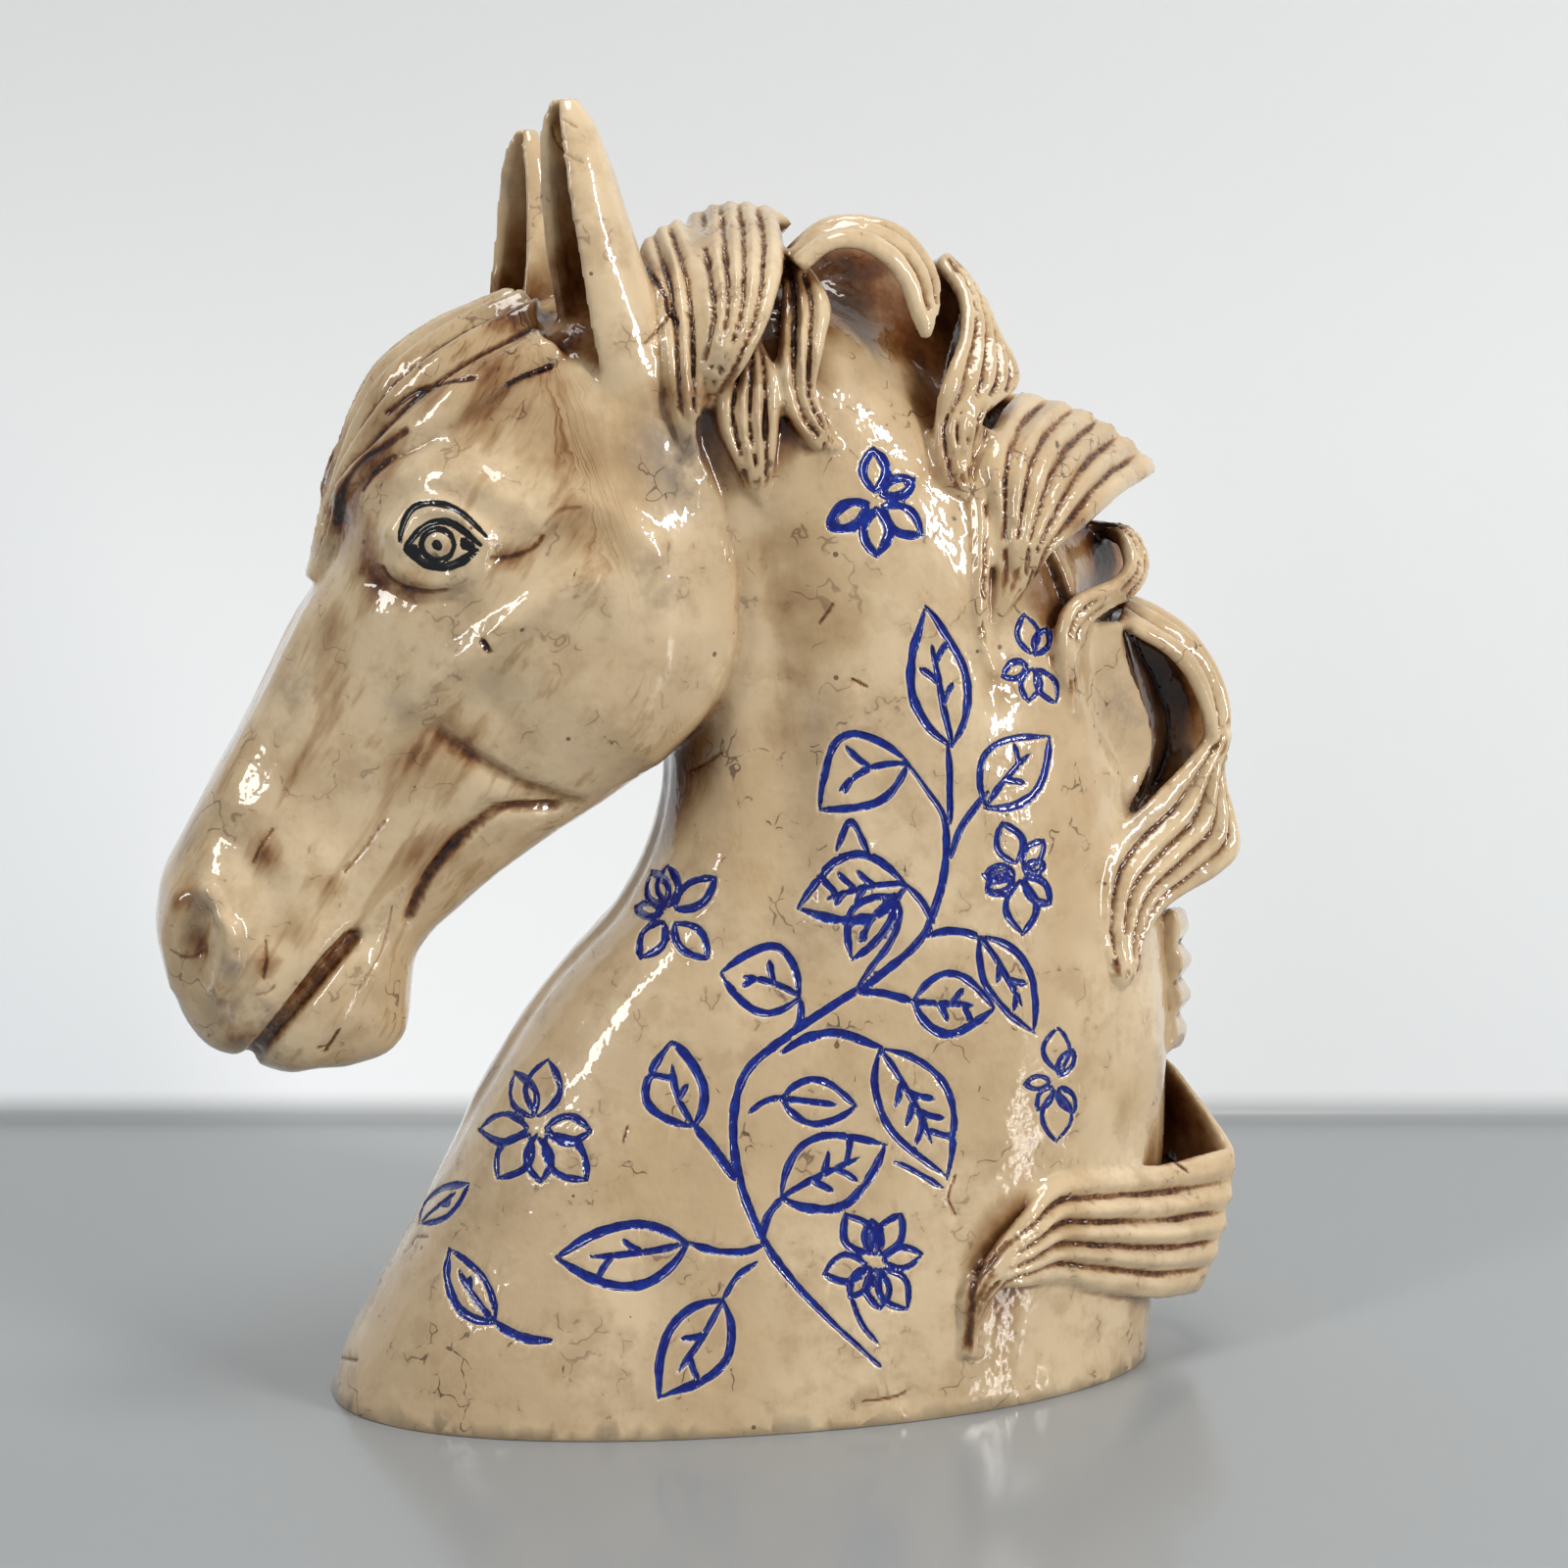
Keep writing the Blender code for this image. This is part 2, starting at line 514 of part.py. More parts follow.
def laid(skin, points, lift):
    """The points moved to the nearest skin, so far off it."""
    moved = []
    for p, off in zip(np.reshape(points, (-1, 3)), np.ravel(lift)):
        place, normal, _, _ = skin.find_nearest(Vector(p))
        moved.append(place + normal * off)
    return np.reshape(moved, np.shape(points))


def slab(name, middle, out, wall, flutes, depth):
    """A closed slab on both sides of a grid of middle points, fluted on its outer face."""
    across = np.linspace(0, 1, middle.shape[1])
    edge = np.maximum(1 - np.abs(2 * across - 1) ** 6, 0.0) ** 0.5 * (1 - LOCK_EDGE_SHARE) + LOCK_EDGE_SHARE
    groove = 1 - np.abs(np.sin(math.pi * flutes * across))
    groove[[0, -1]] = 0.0
    depth = np.minimum(depth, DEEPEST_FLUTE * 2 * wall * edge)
    front = middle + out * (wall * edge - depth * groove)[..., None]
    pick = np.round(np.linspace(len(across) - 1, 0, BACK_SIDES)).astype(int)
    back = (middle - out * (wall * edge)[..., None])[:, pick]
    return tube_object(name, np.concatenate([front, back], axis=1))


def make_lock(name, skin, flutes, cup, edges):
    """A fluted slab between two edges, an array of station and coordinate for each, its tip laid on the skin."""
    run = np.linalg.norm(np.diff((edges[0] + edges[1]) / 2, axis=0), axis=1).sum()
    shares = np.linspace(0, 1, 3 + round(run * UNIT / LOCK_RING_SPACING))
    a, b = spline(edges[0], shares), spline(edges[1], shares)
    thickness = LOCK_THICKNESS / UNIT
    tip = smooth_step(1 - TIP_RUN, 1.0, shares)[:, None] * (name.removeprefix("far_") not in FREE_ENDS)
    lift = np.full(len(shares), TIP_LIFT / UNIT)
    a, b = a + (laid(skin, a, lift) - a) * tip, b + (laid(skin, b, lift) - b) * tip
    width = np.maximum(np.linalg.norm(b - a, axis=1, keepdims=True), TIP_WIDTH / UNIT)
    chord = unit(b - a)
    for i in range(1, len(chord)):
        if width[i] < TIP_WIDTH / UNIT * STILL_NARROW:
            chord[i] = chord[i - 1]
    a, chord = (a + b - chord * width) / 2, chord * width
    out = unit(np.cross(np.gradient((a + b) / 2, axis=0), chord))[:, None]
    across = np.linspace(0, 1, 2 * flutes + 1)
    narrow = np.clip(width / min(flutes * FLUTE_WIDTH / UNIT, width.max()), 0.0, 1.0)
    narrowing = np.clip(width / (STILL_NARROW * thickness), 0.0, 1.0)
    wall = thickness / 2 * (NARROW_LOCK_SHARE + (1 - NARROW_LOCK_SHARE) * narrowing)
    root = ROOT_FLUTE_SHARE + (1 - ROOT_FLUTE_SHARE) * smooth_step(0.0, ROOT_RUN, shares)[:, None]
    bulge = cup * narrow * 4 * across * (1 - across)
    middle = a[:, None] + chord[:, None] * across[:, None] + out * bulge[..., None]
    return slab(name, middle, out, wall, flutes, FLUTE_DEPTH / UNIT * narrow * root)


def make_locks(skin):
    locks = []
    for name, (cup, stations) in LOCKS.items():
        s = np.asarray(stations, float)
        locks.append(make_lock(name, skin, LOCK_FLUTES[name], cup, (s[:, 0:3], s[:, 3:6])))
    for name, dx, dz in FAR_LOCKS:
        cup, stations = LOCKS[name]
        s = np.asarray(stations, float) * (1, -1, 1, 1, -1, 1) + (dx, 0, dz, dx, 0, dz)
        locks.append(make_lock("far_" + name, skin, FAR_FLUTES, cup, (s[:, 3:6], s[:, 0:3])))
    return locks


def make_forelock(skin):
    """The forelock, laid over the forehead and swept to its tip."""
    s = spline(FORELOCK, np.linspace(0, 1, FORELOCK_RINGS))
    near, far, rise = s[:, None, 0:3], s[:, None, 3:6], s[:, 6:7]
    across = np.linspace(0, 1, 2 * FORELOCK_FLUTES + 1)
    arch = near + (far - near) * across[:, None]
    swell = (FORELOCK_ARCH * np.sin(math.pi * across))[:, None] * (1 - shares_to_tip(len(s)))
    arch = arch + np.array(FORELOCK_UP) * swell
    lift = FORELOCK_EDGE_LIFT + rise * np.sin(math.pi * across)
    middle = laid(skin, arch, lift)
    out = unit(middle - laid(skin, arch, lift - 1))
    tip_wall, tip_depth = FORELOCK_TIP_SHARES
    wall = FORELOCK_THICKNESS / UNIT / 2 * np.linspace(1.0, tip_wall, len(s))[:, None]
    depth = FORELOCK_FLUTE_DEPTH / UNIT * np.linspace(1.0, tip_depth, len(s))[:, None]
    return slab("forelock", middle, out, wall, FORELOCK_FLUTES, depth)


def shares_to_tip(count):
    return smooth_step(0.6, 1.0, np.linspace(0, 1, count))[:, None, None]


def make_poll_pad():
    x, y, z, long, broad, high = POLL_PAD
    up = np.linspace(-0.5, 0.5, POLL_PAD_RINGS)[1:-1] * math.pi
    around = np.linspace(0, 2 * math.pi, POLL_PAD_SIDES, endpoint=False)
    flat = np.cos(up)[:, None] * np.ones(len(around))
    rings = np.stack([x + long * flat * np.cos(around), y + broad * flat * np.sin(around),
                      z + high * np.sin(up)[:, None] * np.ones(len(around))], -1)
    return tube_object("poll_pad", rings)


def apply_modifiers(obj):
    graph = bpy.context.evaluated_depsgraph_get()
    graph.update()
    mesh = bpy.data.meshes.new_from_object(obj.evaluated_get(graph))
    obj.modifiers.clear()
    obj.data = mesh


def thin(obj, faces):
    """Keeps about so many triangles, the most where the surface bends most."""
    obj.modifiers.new("triangles", "TRIANGULATE")
    apply_modifiers(obj)
    decimate = obj.modifiers.new("thin", "DECIMATE")
    decimate.ratio = min(1.0, faces / len(obj.data.polygons))
    apply_modifiers(obj)
    return obj


def join(name, forms):
    """Every form joined into one body."""
    others = bpy.data.collections.new("forms")
    bpy.context.scene.collection.children.link(others)
    body, rest = forms[0], forms[1:]
    for obj in rest:
        bpy.context.scene.collection.objects.unlink(obj)
        others.objects.link(obj)
    union = body.modifiers.new("join", "BOOLEAN")
    union.operation = "UNION"
    union.operand_type = "COLLECTION"
    union.collection = others
    union.solver = "MANIFOLD"
    apply_modifiers(body)
    for obj in rest:
        bpy.data.objects.remove(obj, do_unlink=True)
    bpy.data.collections.remove(others)
    body.name = body.data.name = name
    return body


def cut_foot(obj):
    """Cuts the underside flat at the floor, closes it and turns every face into triangles."""
    bm = bmesh.new()
    bm.from_mesh(obj.data)
    everything = bm.verts[:] + bm.edges[:] + bm.faces[:]
    bmesh.ops.bisect_plane(
        bm, geom=everything, plane_co=(0, 0, 0), plane_no=(0, 0, -1), clear_outer=True, dist=MERGE_DISTANCE
    )
    bmesh.ops.holes_fill(bm, edges=[e for e in bm.edges if e.is_boundary])
    bmesh.ops.triangulate(bm, faces=bm.faces[:])
    bm.to_mesh(obj.data)
    bm.free()


def make_bust():
    neck = thin(make_neck(), NECK_FACES)
    head = thin(make_head(), HEAD_FACES)
    skin = surface([neck, head])
    near_ear = thin(make_ear("near_ear", NEAR_EAR, NEAR_EAR_TURN), EAR_FACES)
    far_ear = thin(make_ear("far_ear", FAR_EAR, FAR_EAR_TURN), EAR_FACES)
    forms = [neck, head, near_ear, far_ear, make_poll_pad(), make_forelock(skin), *make_locks(skin)]
    bust = join("horse_bust", forms)
    cut_foot(bust)
    return bust


def glaze():
    material = bpy.data.materials.new("glazed_stoneware")
    material.use_nodes = True
    shader = material.node_tree.nodes["Principled BSDF"]
    shader.inputs["Base Color"].default_value = (0.62, 0.48, 0.31, 1.0)
    shader.inputs["Roughness"].default_value = 0.18
    shader.inputs["Metallic"].default_value = 0.0
    return material


def main():
    for obj in list(bpy.data.objects):
        bpy.data.objects.remove(obj, do_unlink=True)
    bust = make_bust()
    bust.data.materials.clear()
    bust.data.materials.append(glaze())
    bust.data.shade_smooth()
    bust.data.set_sharp_from_angle(angle=math.radians(CREASE_DEGREES))


main()
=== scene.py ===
"""The visual model of a glazed ceramic horse bust: one fired piece, its incised blue vine and its brown wash.

The horse faces -X, its left side is -Y, and it stands on the floor at the origin, +Z up, in metres.
The tables of its form are in millimetres.
"""

import math
import random

import bmesh
import bpy
import numpy as np
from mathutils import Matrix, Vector, noise
from mathutils.bvhtree import BVHTree
from mathutils.kdtree import KDTree


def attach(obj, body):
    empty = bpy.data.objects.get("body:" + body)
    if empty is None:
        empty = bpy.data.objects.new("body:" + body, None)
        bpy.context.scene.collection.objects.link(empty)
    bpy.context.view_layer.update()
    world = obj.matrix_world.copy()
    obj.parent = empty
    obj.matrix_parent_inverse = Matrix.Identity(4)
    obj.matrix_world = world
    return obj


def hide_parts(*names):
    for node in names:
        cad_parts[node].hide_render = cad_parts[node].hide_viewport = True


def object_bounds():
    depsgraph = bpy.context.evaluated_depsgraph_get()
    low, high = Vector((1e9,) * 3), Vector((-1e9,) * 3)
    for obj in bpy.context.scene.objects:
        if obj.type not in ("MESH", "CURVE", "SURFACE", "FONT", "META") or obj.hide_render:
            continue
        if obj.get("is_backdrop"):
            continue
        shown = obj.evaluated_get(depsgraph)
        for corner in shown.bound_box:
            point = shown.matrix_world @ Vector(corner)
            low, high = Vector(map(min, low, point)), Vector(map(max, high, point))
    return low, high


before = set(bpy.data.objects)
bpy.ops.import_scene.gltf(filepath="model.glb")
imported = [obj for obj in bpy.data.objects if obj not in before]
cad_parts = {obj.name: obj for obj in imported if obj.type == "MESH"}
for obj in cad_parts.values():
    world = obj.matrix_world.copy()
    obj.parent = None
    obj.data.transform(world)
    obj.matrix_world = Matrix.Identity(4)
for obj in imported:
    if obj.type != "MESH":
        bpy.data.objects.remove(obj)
cad_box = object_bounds()

# The camera: its place, the angles that it looks along, and its lens. The picture is square.
CAMERA_PLACE = (-0.1681, -0.8491, 0.2888)
CAMERA_AZIMUTH, CAMERA_ELEVATION = -12.0, 9.0
LENS, SENSOR, PICTURE = 80.0, 36.0, 1600

# Sizes of the form, in metres.
LOCK_THICKNESS = 0.0046
FLUTE_WIDTH = 0.0026
FLUTE_DEPTH = 0.0026
DEEPEST_FLUTE = 0.55
EAR_WALL = 0.0046
FORELOCK_THICKNESS = 0.0062
FORELOCK_FLUTE_DEPTH = 0.0032
TIP_LIFT = 0.0003
TIP_WIDTH = 0.0020
UNIT = 0.001

# How finely the clay is sampled, in metres, and how many faces stay before the fine work.
GRAIN = 0.00092
SMOOTHING = (0.5, -0.52, 0.5, 0.5)
KEPT_FACES = 150000
NECK_RINGS, NECK_SIDES = 180, 200
HEAD_RINGS, HEAD_SIDES = 300, 240
EAR_RINGS, EAR_SIDES = 70, 60
FORELOCK_RINGS = 90
LOCK_RING_SPACING = 0.0016
POINTS_PER_FLUTE = 12
BACK_SIDES = 14
# How a slab's edge rounds off, how far along its tip lies on the skin, how its thin ends keep their wall and
# their flutes, and a width under which it counts as a point, in tip widths or thicknesses.
EDGE_POWER, EDGE_WALL = 6, 0.3
TIP_RUN, ROOT_RUN, THIN_SHARE, STILL_NARROW = 0.3, 0.15, 0.45, 1.6
# What is measured on the clay: rounds of smoothing for fine and for broad hollows, and how far and in how
# many directions the shelter looks, from one point in so many.
HOLLOW_ROUNDS = (10, 90)
SHELTER_REACH, SHELTER_RAYS, SHELTER_STEP, SHELTER_BLUR = 38.0, 26, 4, 6
SHELTER_START, SHELTER_SLANT, SHELTER_FADE = 0.35, 0.12, 0.7
# How much of the curve that the normals give a new point takes, and how far a bend is too sharp for it.
CURVE, SHARPEST_BEND = 0.65, 0.5
# Points within so many millimetres of the floor belong to the underside.
UNDERSIDE = 0.02

# The neck, from its foot to the poll: (front x, front z, back x, back z, half width).
NECK_STATIONS = (
    (-107, -10, 109, -10, 54.5), (-103.5, 2, 109, 2, 54), (-99, 14, 110, 16, 53),
    (-84, 40, 112, 48, 50.5), (-67, 71, 113, 84, 47), (-48, 100, 110, 118, 43.5),
    (-28, 122, 103, 148, 41), (-18, 146, 95, 178, 38.5), (-18, 170, 82, 209, 36.5),
    (-25, 194, 62, 241, 34.5), (-37, 215, 34, 267, 32.5), (-52, 232, -3, 280, 30),
    (-66, 243, -38, 274, 22),
)

# The head, from the back of the skull to the lips: (face x, face z, jaw x, jaw z, half width, face
# squareness, jaw squareness).
HEAD_STATIONS = (
    (-8, 262, 4, 248, 12, 2.2, 2.2), (-22, 276, 0, 234, 26, 2.3, 2.4), (-48, 272, -4, 216, 35, 2.4, 2.7),
    (-72, 260, -3, 200, 39, 2.5, 3), (-88, 241, -6, 183, 40.5, 2.6, 3.2),
    (-97, 222, -17, 166, 39, 2.6, 3.2), (-103, 207, -34, 151.5, 34, 2.6, 3),
    (-113, 188, -53, 138, 28, 2.5, 2.6), (-124, 168, -68, 126, 24.5, 2.4, 2.4),
    (-136, 147, -80, 114.5, 23.5, 2.4, 2.3), (-143.5, 130, -83, 103, 24.5, 2.5, 2.4),
    (-143, 113, -86, 92, 23, 2.5, 2.4), (-137, 97, -96, 86, 18, 2.4, 2.3),
    (-125, 88, -111, 85, 8, 2.2, 2.2),
)

# The relief of the head and of the neck, seen from the side: a path of (x, z), its half width, how far it
# stands out or sinks in, and how far from the middle plane it starts.
HEAD_RELIEF = (
    (((-84, 216.5), (-77, 218.5), (-70, 216)), 7.5, 3.4, 8),
    (((-95, 225), (-86, 231), (-73, 232), (-60, 226)), 4.5, 2.6, 12),
    (((-87, 218.5), (-82, 225), (-74, 224.5), (-67, 218)), 1.8, 1.5, 12),
    (((-89, 211), (-82, 208), (-74, 208.5), (-67, 213)), 1.9, 1, 12),
    (((-92, 207), (-85, 203), (-75, 203.5)), 2.6, -2, 12),
    (((-65, 213), (-58, 215), (-52, 219)), 2.6, -1.6, 12),
    (((-62, 242), (-48, 238)), 8, -1.8, 12),
    (((-54, 221), (-46, 226), (-36, 223), (-28, 214)), 3.2, 1.3, 12),
    (((-44, 208), (-60, 199), (-72, 190), (-83, 180)), 4.4, 3, 12),
    (((-68, 178), (-86, 165), (-102, 150)), 8, -3.2, 6),
    (((-30, 204), (-28, 188), (-36, 176)), 18, 3.4, 12),
    (((-17, 231), (-10, 220), (-9, 205), (-10, 190), (-15, 177), (-27, 166)), 4.5, 2.2, 10),
    (((-79, 171), (-67, 162), (-54, 155.5), (-44, 152)), 2.4, -1.6, 6),
    (((-48, 151), (-64, 152), (-71, 147), (-77, 139), (-82, 132), (-85, 124)), 1.7, -1.7, 6),
    (((-98, 121), (-102, 117), (-108, 110), (-115, 102), (-121, 94), (-125, 86)), 2.2, -3.2, 0),
    (((-105, 123), (-113, 115), (-121, 105), (-130, 96)), 4.5, 1.4, 4),
    (((-94, 113), (-100, 106), (-108, 96), (-113, 88)), 4.5, 1.4, 4),
    (((-134.5, 127), (-136.5, 120), (-136, 112)), 3.6, -2.8, 5),
    (((-132, 133), (-127.5, 122), (-131, 109)), 2.4, 2.7, 5),
    (((-139, 131), (-142.5, 121), (-140, 108)), 2, 1.2, 5),
    (((-126, 144), (-119, 134), (-119, 124)), 5, -1.6, 6),
    (((-108, 198), (-119, 172), (-128, 155)), 3.5, 1, 9),
    (((-90, 92), (-86, 99)), 5, 1, 0),
)
NECK_RELIEF = (
    (((2, 214), (3, 190), (6, 157), (5, 133), (0, 108)), 8, -3, 6),
    (((-8, 180), (-8, 156), (-18, 131), (-38, 105), (-60, 72)), 9, 1.6, 4),
    (((-12, 112), (-22, 75), (-34, 40)), 10, -1.4, 4),
    (((40, 215), (58, 150), (62, 90)), 24, 2, 6),
)

# The ears, from the base to the tip: (x, y, z, half length, half breadth, half angle of the opening).
NEAR_EAR = (
    (-19, -18, 222, 15, 10, 12), (-25.5, -21.5, 240, 15.5, 11.5, 24), (-31, -24, 256, 15, 12, 36),
    (-36.5, -25.5, 272, 13.4, 11.2, 44), (-40.5, -26, 288, 11.6, 10.2, 48), (-43, -25, 302, 9.6, 8.6, 48),
    (-44.5, -24, 313, 6.9, 6.5, 44), (-45.3, -24, 320, 3, 3, 30),
)
FAR_EAR = (
    (-29, 18, 222, 15, 10, 12), (-36, 21, 240, 15.5, 11.5, 24), (-42, 24, 256, 15, 12, 34),
    (-46, 26, 270, 13.5, 11, 50), (-46.5, 26, 284, 11.6, 10, 56), (-47.5, 25, 298, 8.8, 8.2, 58),
    (-48, 24, 308, 6, 5.8, 52), (-48, 24, 314, 2.4, 2.4, 36),
)
# How far their openings turn from straight ahead, in degrees.
EAR_TURN = 22.0

# The forelock, from the poll to its tip: a point on its near edge, one on its far edge, and how far its
# middle line lies off the forehead.
FORELOCK_FLUTES = 8
FORELOCK = (
    (-40, -24, 258, -40, 24, 258, 2), (-52, -31, 257, -52, 30, 258, 3),
    (-64, -31, 251, -63, 31, 252, 4.5), (-76, -29, 243, -74, 30, 244, 6.5),
    (-88, -23, 235, -85, 26, 235, 5.5), (-96, -15, 227, -93, 20, 226, 4),
    (-101, -9, 217, -99, 12, 216, 2.5), (-105, -6, 206, -105, 3, 205, 0.6),
)
FORELOCK_EDGE_LIFT = 1.2

# The mane's locks of the near side: the flutes, how far the middle bulges out, and stations along the lock,
# each with a point on one edge and a point on the other edge.
LOCKS = {
    "poll_lock": (5, 3, (
        (-10.6, 8, 290.9, 10.9, 2, 293.1), (-14, -14, 282.9, 7.3, -24, 283.4),
        (-14.5, -33, 270.9, 1.3, -39, 269.8), (-14.8, -37, 261.9, -5.4, -42, 257.6),
        (-18.1, -32.5, 248.8, -12.5, -33.8, 246.5),
    )),
    "ear_strand": (3, 2, (
        (-25.5, -10, 283.6, -12.8, 0, 290.7), (-25, -24.5, 275, -12.5, -17, 282),
        (-24, -31.5, 264, -12.5, -31, 271), (-23.2, -33.8, 253, -13.5, -36, 259.5),
        (-20.5, -34, 241, -15.5, -35, 246), (-16, -33.8, 231, -14.5, -34, 230.5),
    )),
    "leaf_lock": (4, 2, (
        (-5.1, -29.8, 262.6, 0.6, -28.8, 263.1), (-9.5, -33, 252.6, 3.5, -33.6, 254.1),
        (-11.1, -33.9, 244.9, 3.9, -35.3, 244.6), (-6.6, -34.3, 233.8, 2.4, -35.1, 233.9),
        (-0.9, -33.4, 224.9, -0.2, -33.4, 224.7),
    )),
    "narrow_lock": (3, 1.5, (
        (9.9, -14, 279.8, 14.9, -18, 280.6), (6.2, -26, 268.4, 17.3, -30, 271.9),
        (3.7, -32.8, 257, 15.4, -33, 262.7), (5, -35, 246.5, 13.1, -32.5, 253.8),
        (10.8, -35.3, 238.8, 14.7, -35, 245.7), (16.3, -33.8, 236.7, 19.1, -33.5, 237.6),
    )),
    "arch_lock": (3, 1.5, (
        (10.3, -30, 280.2, 11, -10, 281.5), (16.8, -30, 285.3, 18.8, -10, 289),
        (24.2, -29, 285.8, 27.9, -10, 291.1), (31, -29, 282, 38, -12, 288.8),
        (35.6, -29, 275.8, 43.9, -16, 282.2), (37.6, -30, 269, 45.4, -22, 274),
        (40, -31, 263.4, 41.7, -30, 263.4),
    )),
    "bowl_sheet": (3, 5, (
        (12.2, -2, 280.9, 19.2, -18.4, 266.3), (21.7, 3, 288.5, 22.7, -20.1, 262.8),
        (30.4, 3, 290.7, 28.2, -20.3, 259.3), (40.5, 3, 288.5, 35.6, -19.9, 254.5),
        (49.8, 2, 281.3, 42.9, -20.3, 247.4), (58.7, 0, 272.3, 46.6, -22.2, 240.4),
    )),
    "bulge_lock": (5, 2.5, (
        (49.5, -6, 281.4, 51.3, 4, 281.7), (53.2, -14, 273.8, 59.9, 0, 272.6),
        (51.6, -22, 264.5, 65.5, -4, 262.9), (45.2, -30, 252.6, 68.9, -12, 252.6),
        (43.1, -28.2, 242.1, 57.1, -26, 244.7), (43.2, -31.1, 231.1, 54.7, -24.9, 238.2),
        (49.6, -29.3, 224.2, 51.8, -28.6, 225.2),
    )),
    "fan_lock": (6, 4, (
        (71.5, -2, 248.7, 110.4, 4, 228.1), (61.1, -18, 242.8, 95.1, -14, 223.7),
        (55.7, -29, 232.8, 83.5, -24, 217.3), (57.5, -30.6, 218, 73.5, -30, 211.5),
        (57.9, -33.6, 206.1, 68.2, -29.2, 204.9), (57.2, -34, 194.8, 58.6, -33.5, 195.2),
    )),
    "under_strand": (2, 1, (
        (54.8, -22, 243.1, 59.8, -22, 240.6), (52.8, -25.5, 234.4, 58.9, -22.8, 231.9),
        (52.5, -30.3, 222.6, 57.4, -28, 222.5), (52, -34, 208.5, 56.1, -32.7, 208.3),
        (51.6, -36, 194.2, 54.8, -35.3, 194), (55.8, -35.5, 182, 56.6, -35.4, 181.9),
    )),
    "curl_lock": (3, 1, (
        (91.4, 2, 213.3, 93, 4, 215.9), (96, -10, 212.3, 100.7, -4, 213.2),
        (96.5, -16, 207.4, 103.2, -8, 206), (91.1, -22, 203.4, 99.6, -14, 200.5),
        (80.8, -27, 200.5, 89, -21, 195.8), (75.7, -30, 195.8, 82, -25, 191.9),
        (74.2, -31, 188.2, 79.7, -27, 185.6), (76.4, -31, 178.4, 80.5, -28, 177.9),
        (79.8, -30, 171.4, 80.5, -30, 171.1),
    )),
    "loop_lock": (3, 1.5, (
        (93.8, -18, 192.6, 103.3, 4, 195.6), (99.6, -20, 188.8, 109.9, 0, 192.6),
        (107.4, -20, 184.1, 117.3, -2, 186.8), (113.6, -18, 177, 123.1, -4, 178.1),
        (117.6, -16, 168.4, 126.3, -6, 168.3), (119.5, -14, 160, 124.5, -8, 157.8),
    )),
    "loop_sheet": (2, -5, (
        (96.4, -10, 190.2, 114.7, 2, 185.9), (100.3, -8, 177.4, 125, 3, 174.1),
        (104.6, -6, 163.1, 128.1, 2, 163.9), (105.4, -4, 148.9, 122.5, 0, 154.1),
        (97.8, -8, 137.1, 105.6, -4, 141.2),
    )),
    "inner_sheet": (1, -3, (
        (80.9, -27, 193.4, 93.8, -19, 192.7), (78.4, -29, 180.6, 97.4, -17, 181.1),
        (81.8, -27, 165.5, 102.9, -15, 168.2), (84.6, -25, 150.3, 103.9, -14, 155.5),
        (87.4, -24, 135.6, 92.9, -22, 139.6),
    )),
    "tail_lock": (5, 3, (
        (121.1, -12, 164.2, 126.4, -6, 162.8), (113.9, -16, 156.7, 126, -4, 150.2),
        (102.7, -20, 147.9, 131.7, -4, 132.1), (91.9, -25, 140.4, 123.7, -10, 125.5),
        (86.5, -29, 132.3, 108.3, -17, 119.5), (85, -31, 121.6, 100.9, -21, 112.7),
        (85.4, -31, 111.6, 97.4, -24, 105.9), (90.9, -31.9, 101.9, 92.8, -30.8, 101.6),
    )),
    "low_lock": (5, 3, (
        (128.7, -12, 53.6, 118.4, -14, 15.8), (107.2, -24, 54, 103.2, -26, 18.6),
        (85.2, -36, 56.2, 85.6, -36, 25.1), (71.9, -42, 56.6, 72.5, -41, 29.7),
        (63.2, -47.3, 50.9, 62.7, -48.1, 31.3), (53.6, -50, 41.7, 55.6, -49.9, 31.5),
        (47.2, -51.7, 30.8, 52.4, -50.9, 24.7), (46, -49.9, 15, 50.8, -49, 14.3),
    )),
    "back_lock": (4, 1.5, (
        (112, -8, 79, 112, -8, 117), (119.5, 8, 77, 119.5, 8, 114), (112, 26, 77, 110, 27, 108),
        (95, 38, 81, 92, 38, 102), (76, 44, 88, 75, 44, 95),
    )),
    "low_wrap": (3, 1.5, (
        (118.4, -14, 15.8, 128.7, -12, 53.6), (122, 2, 16, 124, 3, 64), (116, 18, 20, 115, 20, 75),
        (97, 38, 28, 95, 36, 80), (73, 48, 44, 74, 46, 70), (54, 52, 59, 55, 51, 64),
    )),
    "curl_sheet": (1, -3, (
        (74, -20, 214, 97, 4, 216), (78, -23, 204, 103, 4, 207), (81, -24, 194, 100, 2, 198),
        (83, -24, 184, 95, -4, 188),
    )),
}

# The clay that carries the locks over the poll: centre and half sizes.
POLL_PAD = (-3, 0, 280, 15, 26, 11)

# The pieces whose lower end isn't laid on the neck.
FREE_ENDS = ("arch_lock", "loop_lock", "bowl_sheet", "loop_sheet", "inner_sheet", "curl_sheet")

# The locks of the far side mirror some of those of the near side, moved by (x, z), with fewer flutes.
FAR_FLUTES = 3
FAR_LOCKS = (
    ("poll_lock", 3, -2), ("leaf_lock", 6, -4), ("narrow_lock", 8, -6), ("bulge_lock", -2, -4),
    ("fan_lock", -4, 0), ("tail_lock", -6, 4), ("loop_lock", -4, 0),
)

